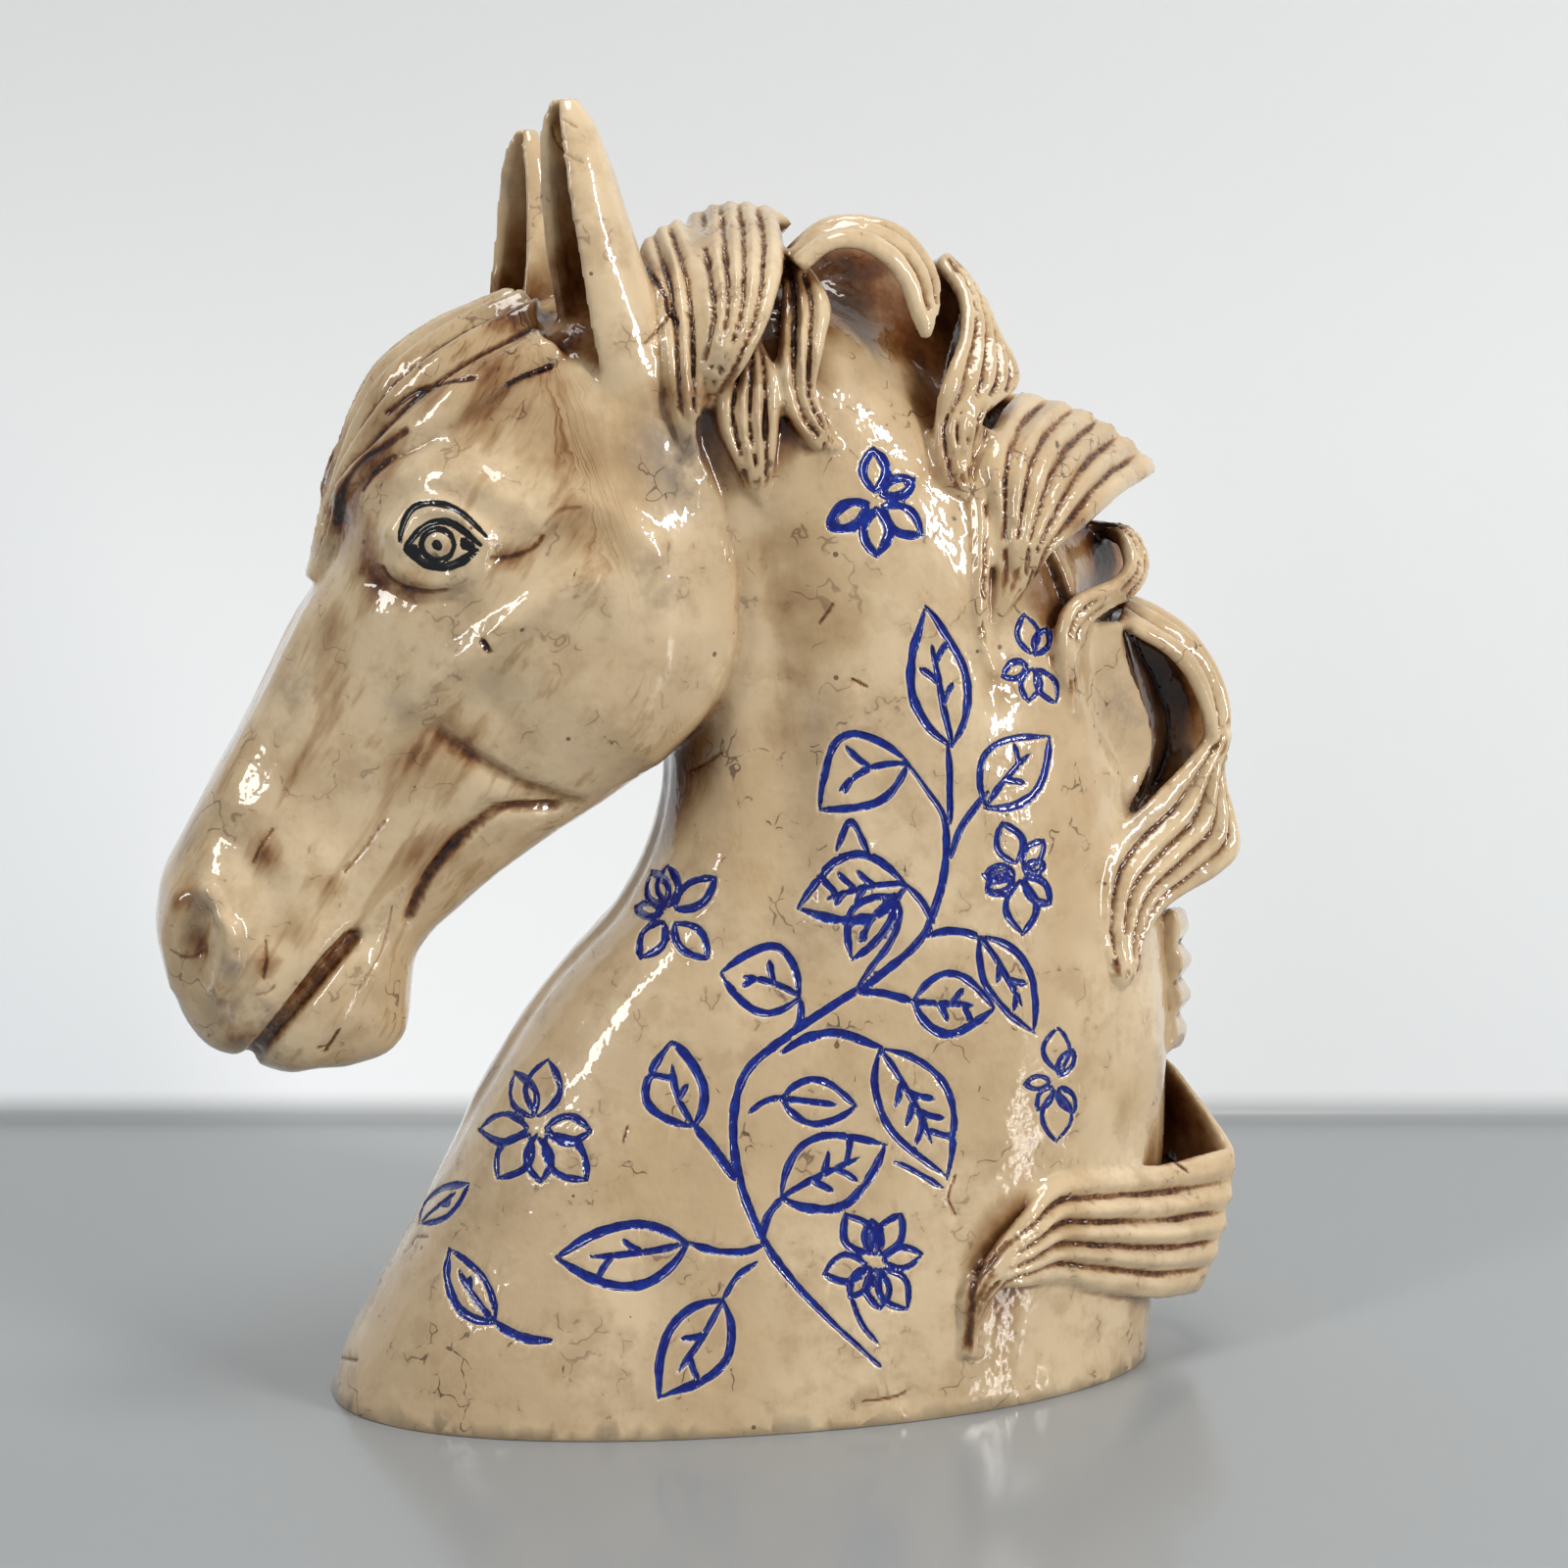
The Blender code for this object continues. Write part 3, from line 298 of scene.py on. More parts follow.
# How fine the mesh gets beside each kind of line, how far from a line that holds, how fast it coarsens
# beyond, and its longest edge, in millimetres.
VINE_EDGE, FAR_VINE_EDGE, MANE_EDGE, INK_EDGE, FAR_INK_EDGE, CUT_EDGE = 1.05, 1.50, 1.15, 0.60, 1.1, 0.75
EDGE_REACH, EDGE_GROWTH, LONGEST_EDGE, SPLIT_ROUNDS, FINE_CUT = 1.2, 1.2, 5.5, 6, 1.0
FINAL_FACES = 193000
# The lines along the locks: half width, depth and spacing of their points, in millimetres.
MANE_LINE, MANE_DEPTH, MANE_SPACING = 0.85, 0.8, 0.3
# So many of the first cuts and swells belong to the face and are on both sides. The far side has these leaves
# and flowers of the vine.
FACE_CUTS, FACE_SWELLS = 7, 17
FAR_LEAVES, FAR_FLOWERS = (0, 2, 5, 7, 8), (0, 3, 6)

# The studio: distances in metres, colours in display steps, powers in watts.
WALL_DISTANCE, WALL_TOP, SWEEP, SWEEP_STEPS = 0.2545, 2.2, 0.008, 8
FLOOR_FRONT, FLOOR_SIDE, FLOOR_SINK = -1.6, 2.6, 0.0002
FLOOR_COLOUR, WALL_COLOUR = (147, 150, 151), (206, 208, 208)
# Painted light on the wall: the height up to which it glows, fading from its foot, and its glow at its left
# and its right.
WALL_PAINTED_GLOW_TOP, WALL_PAINTED_GLOW = 0.50, (0.40, 0.24)
WORLD_COLOUR, WORLD_STRENGTH = (0.93, 0.96, 1.0, 1.0), 0.36
LAMPS = (
    ("window_left", (-1.2, -0.8, 0.95), (0, 0, 0.15), (0.22, 0.8), 8.6, (1.0, 0.99, 0.97)),
    ("window_right", (1.0, -1.0, 0.60), (0, 0, 0.12), (0.12, 0.8), 15.0, (1.0, 0.98, 0.95)),
    ("ceiling", (0.15, -0.25, 1.6), (0, 0, 0.1), (0.5, 0.5), 8.0, (1.0, 1.0, 1.0)),
)

# Marks are placed where the camera sees them, in pixels of the square picture, and cut into the skin that
# they meet. The vine: each leaf has its base, its tip, how far its two outlines bulge, and its side veins.
LEAVES = (
    (972, 762, 944, 618, 30, 27, 3), (927, 779, 834, 828, 20, 55, 2), (1005, 824, 1073, 750, 36, 27, 2),
    (925, 903, 813, 928, 24, 42, 5), (912, 915, 868, 982, 12, 28, 2), (816, 1018, 733, 993, 26, 43, 2),
    (1000, 955, 1057, 1056, 27, 19, 3), (931, 1022, 1018, 1030, 33, 30, 3), (898, 1070, 968, 1206, 42, 29, 6),
    (797, 1122, 876, 1130, 24, 21, 0), (797, 1222, 908, 1168, 40, 35, 4), (708, 1150, 684, 1060, 40, 20, 2),
    (702, 1268, 562, 1284, 38, 25, 2), (738, 1326, 672, 1428, 36, 29, 2), (505, 1350, 456, 1272, 24, 14, 1),
    (427, 1248, 479, 1206, 14, 13, 1),
)
# The stems: paths, and their half width in millimetres.
STEMS = (
    (((898, 1394), (850, 1350), (806, 1304), (775, 1258), (755, 1205), (748, 1160), (752, 1118),
      (768, 1086), (811, 1052), (850, 1026), (900, 994), (940, 958), (958, 915), (966, 870), (963, 835),
      (946, 806), (927, 780)), 0.90),
    (((970, 840), (969, 800), (967, 762)), 0.70),
    (((970, 876), (978, 850), (992, 828), (1008, 808)), 0.80),
    (((925, 903), (940, 919), (953, 942)), 0.80),
    (((912, 912), (918, 935), (908, 962), (890, 986), (876, 1006)), 0.75),
    (((816, 1018), (817, 1038), (811, 1056)), 0.80),
    (((943, 956), (965, 950), (985, 951), (1002, 958)), 0.85),
    (((877, 1013), (902, 1014), (932, 1022)), 0.85),
    (((798, 1074), (822, 1060), (858, 1055), (900, 1069)), 0.95),
    (((764, 1136), (780, 1124), (800, 1119)), 0.65),
    (((778, 1264), (783, 1242), (799, 1221)), 0.85),
    (((750, 1204), (730, 1175), (706, 1146)), 1.00),
    (((780, 1270), (756, 1278), (728, 1276), (702, 1268)), 0.80),
    (((772, 1288), (752, 1303), (737, 1328)), 0.65),
    (((562, 1368), (540, 1367), (520, 1360), (503, 1348)), 0.95),
    (((853, 868), (868, 838), (887, 872)), 0.70),
    (((912, 1186), (930, 1193), (963, 1213)), 0.60),
    (((868, 1322), (880, 1352), (897, 1372)), 0.60),
)
# The flowers: centre, half width of the lines, and each petal's direction in degrees and length.
FLOWERS = (
    ((893, 510), 1.00, ((-93, 53), (-30, 46), (37, 63), (86, 60), (151, 60))),
    ((1053, 675), 0.70, ((-98, 50), (-65, 40), (58, 50), (92, 42), (154, 34))),
    ((681, 933), 0.85, ((-88, 52), (-112, 50), (-39, 63), (49, 62), (122, 54), (-167, 38))),
    ((1040, 890), 0.80, ((-110, 56), (-52, 42), (-16, 30), (44, 46), (88, 64), (147, 42), (175, 38))),
    ((547, 1150), 0.75, ((-113, 62), (-78, 72), (178, 62), (3, 58), (47, 76), (84, 60), (128, 68))),
    ((1078, 1104), 0.60, ((-90, 58), (-62, 38), (176, 34), (58, 38), (90, 64), (122, 36))),
    ((893, 1288), 0.75, ((-122, 60), (-94, 46), (-62, 56), (-8, 50), (54, 62), (86, 50), (128, 46),
                          (167, 56))),
)
# Black lines of the eye: paths and half widths in millimetres.
INK = (
    (((408, 552), (410, 540), (414, 529), (421, 519), (432, 514), (450, 514), (464, 519), (477, 528),
      (489, 540), (496, 547)), 0.85),
    (((414, 557), (428, 541), (440, 534), (452, 532), (464, 536), (476, 544), (490, 556)), 0.90),
    (((414, 561), (430, 574), (442, 578), (456, 578), (470, 573), (486, 562)), 1.10),
    (((464, 556), (459, 567), (447, 572), (435, 567), (430, 556), (435, 545), (447, 540), (459, 545),
      (464, 556)), 0.78),
    (((418, 558), (425, 564)), 1.90), (((474, 554), (481, 559)), 1.60), (((446, 556), (447, 557)), 1.30),
)
# Brown cuts and creases: paths, half widths and depths in millimetres, and how dark the wash in them is,
# which in the soft crease along the cheek's lower edge is painted shade.
CUTS = (
    (((356, 958), (338, 978), (320, 1000), (302, 1022), (284, 1045), (268, 1064),
      (262, 1074)), 2.3, 0.9, 0.56),
    (((350, 955), (330, 977), (310, 1002), (290, 1028), (272, 1052)), 0.9, 0.8, 0.80),
    (((566, 821), (545, 820), (512, 822), (480, 845), (452, 874), (432, 902), (418, 932)), 1.2, 0.8, 0.68),
    (((391, 580), (397, 590), (408, 597), (422, 602), (440, 604), (455, 602)), 0.8, 0.5, 0.45),
    (((502, 569), (515, 569), (530, 565), (541, 561), (549, 555), (554, 547)), 0.5, 0.35, 0.42),
    (((556, 536), (564, 527), (573, 520), (592, 518)), 0.45, 0.25, 0.15),
    # The soft crease along the cheek's lower edge: its darkness is painted shade.
    (((449, 752), (480, 768), (520, 790), (552, 806), (589, 816)), 1.6, 0.45, 0.28),
    (((494, 655), (498, 662)), 0.75, 1.1, 1.0),
    (((870, 693), (884, 700)), 0.35, 0.3, 0.7), (((850, 616), (843, 627), (836, 636)), 0.32, 0.25, 0.5),
    (((518, 393), (534, 385), (550, 379), (562, 374)), 0.6, 1.1, 1.0),
    (((176, 968), (186, 974), (198, 976), (208, 970)), 0.35, 0.3, 0.34),
    (((258, 880), (266, 864), (278, 846)), 0.35, 0.25, 0.42),
    (((271, 960), (272, 978), (269, 998)), 0.35, 0.25, 0.40),
    (((400, 925), (394, 955), (386, 978), (372, 1000), (366, 1010)), 0.3, 0.25, 0.30),
    (((392, 838), (372, 866), (352, 890)), 0.3, 0.25, 0.34),
    (((262, 1015), (274, 1012), (280, 1006)), 0.3, 0.25, 0.32),
    (((345, 1050), (338, 1062), (332, 1072)), 0.45, 0.45, 0.70), (((325, 1068), (334, 1066)), 0.3, 0.3, 0.6),
    (((563, 130), (568, 145), (582, 160), (594, 166)), 0.3, 0.25, 0.25),
    (((575, 122), (588, 130)), 0.3, 0.25, 0.25),
    (((660, 275), (678, 300), (682, 318), (692, 330)), 0.6, 0.5, 1.0),
    (((658, 350), (676, 332), (684, 320)), 0.35, 0.3, 0.63),
    (((706, 786), (722, 778), (736, 768)), 0.35, 0.25, 0.45),
    (((395, 421), (423, 401), (453, 391), (482, 386)), 0.6, 0.5, 0.75),
    (((343, 532), (351, 497), (370, 470), (392, 456), (414, 440)), 0.9, 0.4, 0.62),
    (((372, 500), (384, 482), (402, 466)), 0.7, 0.3, 0.55),
    (((1000, 1290), (992, 1310), (990, 1340), (988, 1375)), 1.2, 0.8, 0.7),
    (((640, 1150), (636, 1165)), 0.35, 0.25, 0.56), (((1212, 1195), (1190, 1180)), 0.5, 0.3, 0.8),
    (((345, 1385), (365, 1388)), 0.35, 0.3, 0.63), (((975, 1200), (968, 1222), (976, 1240)), 0.3, 0.25, 0.56),
    (((880, 1430), (910, 1426), (925, 1420)), 0.35, 0.3, 0.56),
    (((420, 1270), (424, 1262), (436, 1262)), 0.4, 0.3, 0.63),
)
# Soft rises and hollows: paths, half widths and heights in millimetres.
SWELLS = (
    (((412, 562), (430, 574), (455, 577), (478, 570)), 1.4, 0.35),
    (((412, 548), (424, 530), (445, 522), (468, 528), (488, 548)), 1.0, 0.55),
    (((447, 553), (452, 555)), 2.6, 0.7),
    (((402, 575), (425, 592), (450, 596), (478, 588)), 1.6, 0.5),
    (((240, 950), (243, 975), (236, 1000)), 1.6, 0.9), (((222, 935), (232, 945)), 1.4, 0.8),
    (((186, 925), (180, 955), (190, 990)), 4.0, 0.8), (((205, 955), (207, 970)), 1.8, -0.9),
    (((452, 768), (400, 822), (352, 890)), 1.2, -0.45), (((478, 792), (425, 855), (380, 925)), 1.1, -0.40),
    (((428, 745), (372, 812), (322, 885)), 1.3, -0.40), (((330, 640), (290, 730), (250, 810)), 1.4, -0.35),
    (((365, 640), (330, 720), (290, 800)), 1.2, -0.35), (((500, 812), (455, 862), (415, 918)), 1.0, -0.40),
    (((560, 660), (500, 715), (440, 755)), 2.4, 0.55), (((470, 690), (420, 740), (370, 800)), 1.6, 0.35),
    (((575, 590), (530, 625), (480, 665), (440, 695)), 2.6, 0.9),
    (((706, 491), (716, 496)), 3.0, 1.0), (((1133, 795), (1134, 800)), 3.0, 1.4),
    (((552, 760), (557, 757)), 1.5, -0.5), (((400, 700), (330, 790), (280, 850)), 3.0, -0.6),
    (((520, 640), (450, 720), (380, 800)), 2.2, 0.5), (((347, 1040), (420, 1050)), 4.0, 0.5),
    (((380, 1405), (520, 1440), (700, 1450), (900, 1432), (1080, 1394), (1150, 1365)), 0.8, -0.35),
)
# Smudges of brown wash and of grey, and two brown ones that are painted shade on the neck behind the cheek:
# centre, reach in millimetres, strength.
BROWN = (
    (418, 604, 4.5, 0.55), (385, 590, 5, 0.55), (350, 520, 7, 0.75), (385, 470, 5, 0.9), (335, 480, 5, 0.5),
    (360, 560, 5, 0.3), (480, 420, 7, 0.25), (560, 400, 6, 0.35), (640, 440, 10, 0.35), (700, 400, 6, 0.5),
    (205, 960, 4, 0.55), (190, 915, 4, 0.5), (180, 1030, 6, 0.35), (270, 870, 4, 0.5), (270, 985, 2.5, 0.6),
    (250, 1060, 5, 0.35), (330, 905, 3, 0.4), (300, 950, 4, 0.3), (420, 780, 7, 0.3), (470, 760, 6, 0.5),
    (520, 570, 3.5, 0.45), (590, 530, 5, 0.35), (620, 560, 6, 0.2), (800, 620, 5, 0.6), (812, 680, 4, 0.6),
    (800, 740, 5, 0.45), (700, 790, 6, 0.4), (740, 800, 5, 0.3), (780, 560, 4, 0.5), (575, 270, 4, 0.9),
    (578, 310, 4, 1.0), (582, 350, 3, 1.0), (560, 235, 3, 0.5), (525, 320, 5, 0.9), (540, 300, 4, 0.6),
    (1125, 560, 6, 0.8), (1100, 540, 5, 0.6), (880, 290, 9, 0.7), (930, 350, 9, 0.6), (1200, 700, 9, 0.7),
    (1150, 600, 5, 0.5), (1195, 1140, 8, 0.7), (1090, 1250, 6, 0.4), (1020, 1390, 6, 0.25),
    (1150, 1130, 6, 0.3), (1110, 820, 6, 0.25), (650, 500, 6, 0.2), (820, 440, 5, 0.4),
    (1130, 900, 6, 0.3), (1160, 960, 5, 0.35),
    (700, 980, 6, 0.25), (740, 860, 6, 0.2), (430, 880, 6, 0.25), (330, 690, 6, 0.25), (300, 780, 6, 0.25),
    (650, 1010, 6, 0.2), (360, 1400, 7, 0.25), (600, 460, 6, 0.25), (460, 860, 4, 0.3), (340, 640, 5, 0.35),
    # Painted shade: the brown smudges at (850, 640) and (820, 560) darken the neck behind the cheek.
    (850, 640, 9, 0.40), (820, 560, 8, 0.35), (560, 450, 8, 0.30), (770, 900, 8, 0.2), (640, 1220, 10, 0.2),
    (345, 450, 5, 0.45), (430, 405, 5, 0.35), (500, 378, 4, 0.4), (372, 545, 4, 0.5), (395, 430, 5, 0.3),
    (1020, 700, 6, 0.35), (960, 480, 7, 0.4), (700, 1120, 8, 0.15), (300, 1330, 8, 0.2), (560, 1300, 9, 0.15),
)
GREY = (
    (700, 480, 7, 0.8), (665, 450, 6, 0.45), (720, 440, 5, 0.5), (212, 930, 4, 0.8), (240, 1045, 6, 0.7),
    (235, 985, 3.5, 0.7), (260, 1030, 4, 0.5), (190, 870, 5, 0.4), (300, 700, 6, 0.3), (570, 185, 4, 0.6),
    (525, 190, 4, 0.5), (830, 730, 5, 0.3), (1150, 720, 7, 0.5), (1160, 830, 6, 0.4), (335, 560, 4, 0.4),
    (1060, 600, 5, 0.3), (255, 1060, 5, 0.6), (660, 600, 7, 0.3), (860, 940, 5, 0.2), (1140, 1180, 6, 0.4),
)

# How deep the vine and the ink are cut, how high the burr beside them stands, the half widths of a leaf's
# lines, and how much of its width a line keeps at its ends, in millimetres and shares.
LINE_DEPTH, INK_DEPTH, BURR = 0.62, 0.45, 0.10
LEAF_LINE, VEIN_LINE, VINE_BREADTH = 0.88, 0.72, 1.20
DOT_END, STROKE_END = 1.0, 0.6
LINE_REACH, CUT_SPACING, SMUDGE_GROWTH = 1.5, 3.0, 1.1
# The unevenness of the hand-made skin: height in millimetres, waves per millimetre, and where in the noise it
# starts.
RIPPLES = ((0.38, 0.055, 3.0), (0.20, 0.15, 9.0))
# How dark the wash is in creases, in the mane's lines, in broad hollows and in sheltered places, where it is
# partly painted shade.
CREASE_WASH, MANE_WASH, HOLLOW_WASH, SHELTER_WASH_AND_SHADE = 0.50, 0.80, 0.38, 0.30
# Where the wall of a cut or line begins and ends, and where its wash and painted shade do, in shares of its
# half width.
CUT_WALL, CUT_WASH_AND_SHADE = (0.35, 1.25), (0.55, 1.55)
LINE_WALL, MANE_WALL, MANE_STAIN = (0.30, 1.20), (0.20, 1.25), (0.35, 1.25)
SEED = 11

# Colours of the glaze, in display steps, and of the brown wash from thin to thick.
CREAMS, MOTTLE = ((189, 163, 127), (211, 188, 153)), (164, 134, 97)
GREY_GLAZE, FLAW = (104, 100, 98), (58, 36, 22)
COBALTS, COBALT_EDGE, BURR_CREAM = ((0, 14, 112), (4, 58, 158)), (14, 44, 112), (222, 204, 172)
BLACK = (12, 11, 15)
WASH = (
    (0.0, (205, 181, 144)), (0.16, (180, 152, 114)), (0.36, (143, 106, 68)),
    (0.58, (104, 62, 30)), (0.80, (68, 34, 15)), (1.0, (34, 16, 8)),
)


def spline(points, shares):
    """Points of a smooth curve through the given ones, at shares of its run from 0 to 1."""
    p = np.asarray(points, float)
    last = len(p) - 1
    t = np.clip(np.asarray(shares, float), 0.0, 1.0) * last
    i = np.minimum(t.astype(int), last - 1)
    f = (t - i)[..., None]
    ends = np.vstack([2 * p[0] - p[1], p, 2 * p[-1] - p[-2]])
    a, b, c, d = (ends[i + k] for k in range(4))
    return 0.5 * (
        2 * b + (c - a) * f + (2 * a - 5 * b + 4 * c - d) * f**2 + (3 * b - a - 3 * c + d) * f**3
    )


def smooth_step(low, high, x):
    """0 below low, 1 above high, and a smooth rise between."""
    t = np.clip((x - low) / (high - low), 0.0, 1.0)
    return t * t * (3 - 2 * t)


def signed_power(x, power):
    return np.sign(x) * np.abs(x) ** power


def unit(v):
    return v / np.maximum(np.linalg.norm(v, axis=-1, keepdims=True), 1e-9)


def tube(rings):
    """Points and faces of a closed solid through rings of points, with one face over each end."""
    count, sides = rings.shape[:2]
    faces = [tuple(range(sides)), tuple(range(count * sides - 1, (count - 1) * sides - 1, -1))]
    i, j = np.meshgrid(np.arange(count - 1), np.arange(sides), indexing="ij")
    k = (j + 1) % sides
    quads = np.stack([i * sides + j, i * sides + k, (i + 1) * sides + k, (i + 1) * sides + j], -1)
    return rings.reshape(-1, 3), faces + quads.reshape(-1, 4).tolist()


def sections(stations, along, around):
    """Points of a form drawn by two outlines in the middle plane and a half width."""
    table = np.asarray(stations, float)
    s = spline(table, along)
    front, back, width = s[..., 0:2], s[..., 2:4], s[..., 4]
    face_power, jaw_power = (s[..., 5], s[..., 6]) if table.shape[1] > 5 else (2.25, 2.1)
    c, w = np.cos(around), np.sin(around)
    power = 2.0 / np.where(c > 0, face_power, jaw_power)
    a, b = signed_power(c, power), signed_power(w, power)
    middle, half = (front + back) / 2, (front - back) / 2
    x = middle[..., 0] + half[..., 0] * a
    z = middle[..., 1] + half[..., 1] * a
    return np.stack([x, width * b, z], -1)


def path_distance(x, z, path):
    """How far each point lies from a smooth path in the side view."""
    p = spline(path, np.linspace(0, 1, 8 * len(path)))
    nearest = np.full(x.shape, np.inf)
    for (ax, az), (bx, bz) in zip(p[:-1], p[1:]):
        dx, dz = bx - ax, bz - az
        t = np.clip(((x - ax) * dx + (z - az) * dz) / (dx * dx + dz * dz), 0, 1)
        nearest = np.minimum(nearest, np.hypot(x - ax - t * dx, z - az - t * dz))
    return nearest


def carve(rings, relief):
    """The rings with the relief pushed out or in along the surface."""
    along = np.gradient(rings, axis=0)
    around = np.roll(rings, -1, axis=1) - np.roll(rings, 1, axis=1)
    out = unit(np.cross(around, along))
    if (out * (rings - rings.mean(axis=1, keepdims=True))).sum() < 0:
        out = -out
    x, y, z = rings[..., 0], rings[..., 1], rings[..., 2]
    rise = np.zeros(x.shape)
    for path, width, height, inner in relief:
        side = smooth_step(inner * 0.5, inner + 0.1, np.abs(y)) if inner else 1.0
        rise += height * side * np.exp(-((path_distance(x, z, path) / width) ** 2))
    return rings + out * rise[..., None]


def carved_form(stations, relief, rings, sides):
    along = np.linspace(0, 1, rings)[:, None] * np.ones(sides)
    around = np.ones(rings)[:, None] * np.linspace(0, 2 * math.pi, sides, endpoint=False)
    return carve(sections(stations, along, around), relief)


def ear(stations):
    """A cupped ear, its opening turned from straight ahead towards the near side."""
    s = spline(stations, np.linspace(0, 1, EAR_RINGS))
    ahead = math.radians(180.0 + EAR_TURN)
    shares = np.linspace(0, 1, EAR_SIDES)
    loops = []
    for x, y, z, long, broad, half_gap in s:
        gap = math.radians(half_gap)
        angles = gap + shares * (2 * math.pi - 2 * gap)
        wall = min(EAR_WALL / UNIT, 0.55 * min(long, broad))
        rim = np.minimum(1.0, 0.55 + 3.0 * np.minimum(shares, 1 - shares))
        outer = np.stack([long * np.cos(angles), broad * np.sin(angles)], -1)
        shrink = 1 - wall * rim / np.hypot(outer[:, 0], outer[:, 1])
        flat = np.concatenate([outer, (outer * shrink[:, None])[::-1]])
        px = flat[:, 0] * math.cos(ahead) - flat[:, 1] * math.sin(ahead)
        py = flat[:, 0] * math.sin(ahead) + flat[:, 1] * math.cos(ahead)
        loops.append(np.stack([x + px, y + py, np.full(len(flat), z)], -1))
    return np.array(loops)


def laid(skin, points, lift):
    """The points moved to the nearest skin, so far off it."""
    moved = []
    for p, off in zip(np.reshape(points, (-1, 3)), np.ravel(lift)):
        place, normal, _, _ = skin.find_nearest(Vector(p))
        moved.append(place + normal * off)
    return np.reshape(moved, np.shape(points))


def slab(middle, out, wall, flutes, depth):
    """A closed slab on both sides of a grid of points, fluted on its outer face, and the lines along it."""
    across = np.linspace(0, 1, middle.shape[1])
    edge = np.maximum(1 - np.abs(2 * across - 1) ** EDGE_POWER, 0.0) ** 0.5 * (1 - EDGE_WALL) + EDGE_WALL
    groove = (0.5 + 0.5 * np.cos(2 * math.pi * flutes * across))
    groove[across < 0.5 / flutes] = 0.0
    groove[across > 1 - 0.5 / flutes] = 0.0
    depth = np.minimum(depth, DEEPEST_FLUTE * 2 * wall * edge)
    front = middle + out * (wall * edge - depth * groove)[..., None]
    pick = np.round(np.linspace(len(across) - 1, 0, BACK_SIDES)).astype(int)
    back = (middle - out * (wall * edge)[..., None])[:, pick]
    lines = [front[:, k * POINTS_PER_FLUTE] for k in range(1, flutes)]
    return np.concatenate([front, back], axis=1), lines


def lock(name, skin, flutes, cup, edges):
    """A fluted slab between two edges, each an array of stations, with its tip laid on the skin."""
    run = np.linalg.norm(np.diff((edges[0] + edges[1]) / 2, axis=0), axis=1).sum()
    shares = np.linspace(0, 1, 3 + round(run * UNIT / LOCK_RING_SPACING))
    a, b = spline(edges[0], shares), spline(edges[1], shares)
    thickness = LOCK_THICKNESS / UNIT
    tip = smooth_step(1 - TIP_RUN, 1.0, shares)[:, None] * (name not in FREE_ENDS)
    lift = np.full(len(shares), TIP_LIFT / UNIT)
    a, b = a + (laid(skin, a, lift) - a) * tip, b + (laid(skin, b, lift) - b) * tip
    width = np.maximum(np.linalg.norm(b - a, axis=1, keepdims=True), TIP_WIDTH / UNIT)
    chord = unit(b - a)
    for i in range(1, len(chord)):
        if width[i] < TIP_WIDTH / UNIT * STILL_NARROW:
            chord[i] = chord[i - 1]
    a, chord = (a + b - chord * width) / 2, chord * width
    out = unit(np.cross(np.gradient((a + b) / 2, axis=0), chord))[:, None]
    across = np.linspace(0, 1, POINTS_PER_FLUTE * flutes + 1)
    narrow = np.clip(width / min(flutes * FLUTE_WIDTH / UNIT, width.max()), 0.0, 1.0)
    narrowing = np.clip(width / (STILL_NARROW * thickness), 0.0, 1.0)
    wall = thickness / 2 * (THIN_SHARE + (1 - THIN_SHARE) * narrowing)
    root = THIN_SHARE + (1 - THIN_SHARE) * smooth_step(0.0, ROOT_RUN, shares)[:, None]
    bulge = cup * narrow * 4 * across * (1 - across)
    middle = a[:, None] + chord[:, None] * across[:, None] + out * bulge[..., None]
    rings, lines = slab(middle, out, wall, flutes, FLUTE_DEPTH / UNIT * narrow * root)
    room = smooth_step(0.9, 2.2, width / flutes) * smooth_step(0.0, 0.06, shares)[:, None]
    return rings, [np.hstack([line, room]) for line in lines]


def locks(skin):
    made = []
    for name, (flutes, cup, stations) in LOCKS.items():
        s = np.asarray(stations, float)
        made.append(lock(name, skin, flutes, cup, (s[:, 0:3], s[:, 3:6])))
    for name, dx, dz in FAR_LOCKS:
        _, cup, stations = LOCKS[name]
        s = np.asarray(stations, float) * (1, -1, 1, 1, -1, 1) + (dx, 0, dz, dx, 0, dz)
        made.append(lock(name, skin, FAR_FLUTES, cup, (s[:, 3:6], s[:, 0:3])))
    return made


def forelock(skin):
    """The forelock, laid over the forehead and swept to its tip."""
    shares = np.linspace(0, 1, FORELOCK_RINGS)
    s = spline(FORELOCK, shares)
    near, far, rise = s[:, None, 0:3], s[:, None, 3:6], s[:, 6:7]
    across = np.linspace(0, 1, POINTS_PER_FLUTE * FORELOCK_FLUTES + 1)
    arch = near + (far - near) * across[:, None]
    flat = 1 - smooth_step(0.6, 1.0, shares)[:, None, None]
    arch = arch + np.array([-0.7, 0.0, 0.7]) * (20 * np.sin(math.pi * across))[:, None] * flat
    lift = FORELOCK_EDGE_LIFT + rise * np.sin(math.pi * across)
    middle = laid(skin, arch, lift)
    out = unit(middle - laid(skin, arch, lift - 1))
    wall = FORELOCK_THICKNESS / UNIT / 2 * np.linspace(1.0, 0.5, len(s))[:, None]
    depth = FORELOCK_FLUTE_DEPTH / UNIT * np.linspace(1.0, 0.5, len(s))[:, None]
    rings, lines = slab(middle, out, wall, FORELOCK_FLUTES, depth)
    room = smooth_step(0.0, 0.1, shares)[:, None] * (1 - smooth_step(0.8, 0.97, shares))[:, None]
    return rings, [np.hstack([line, room]) for line in lines]


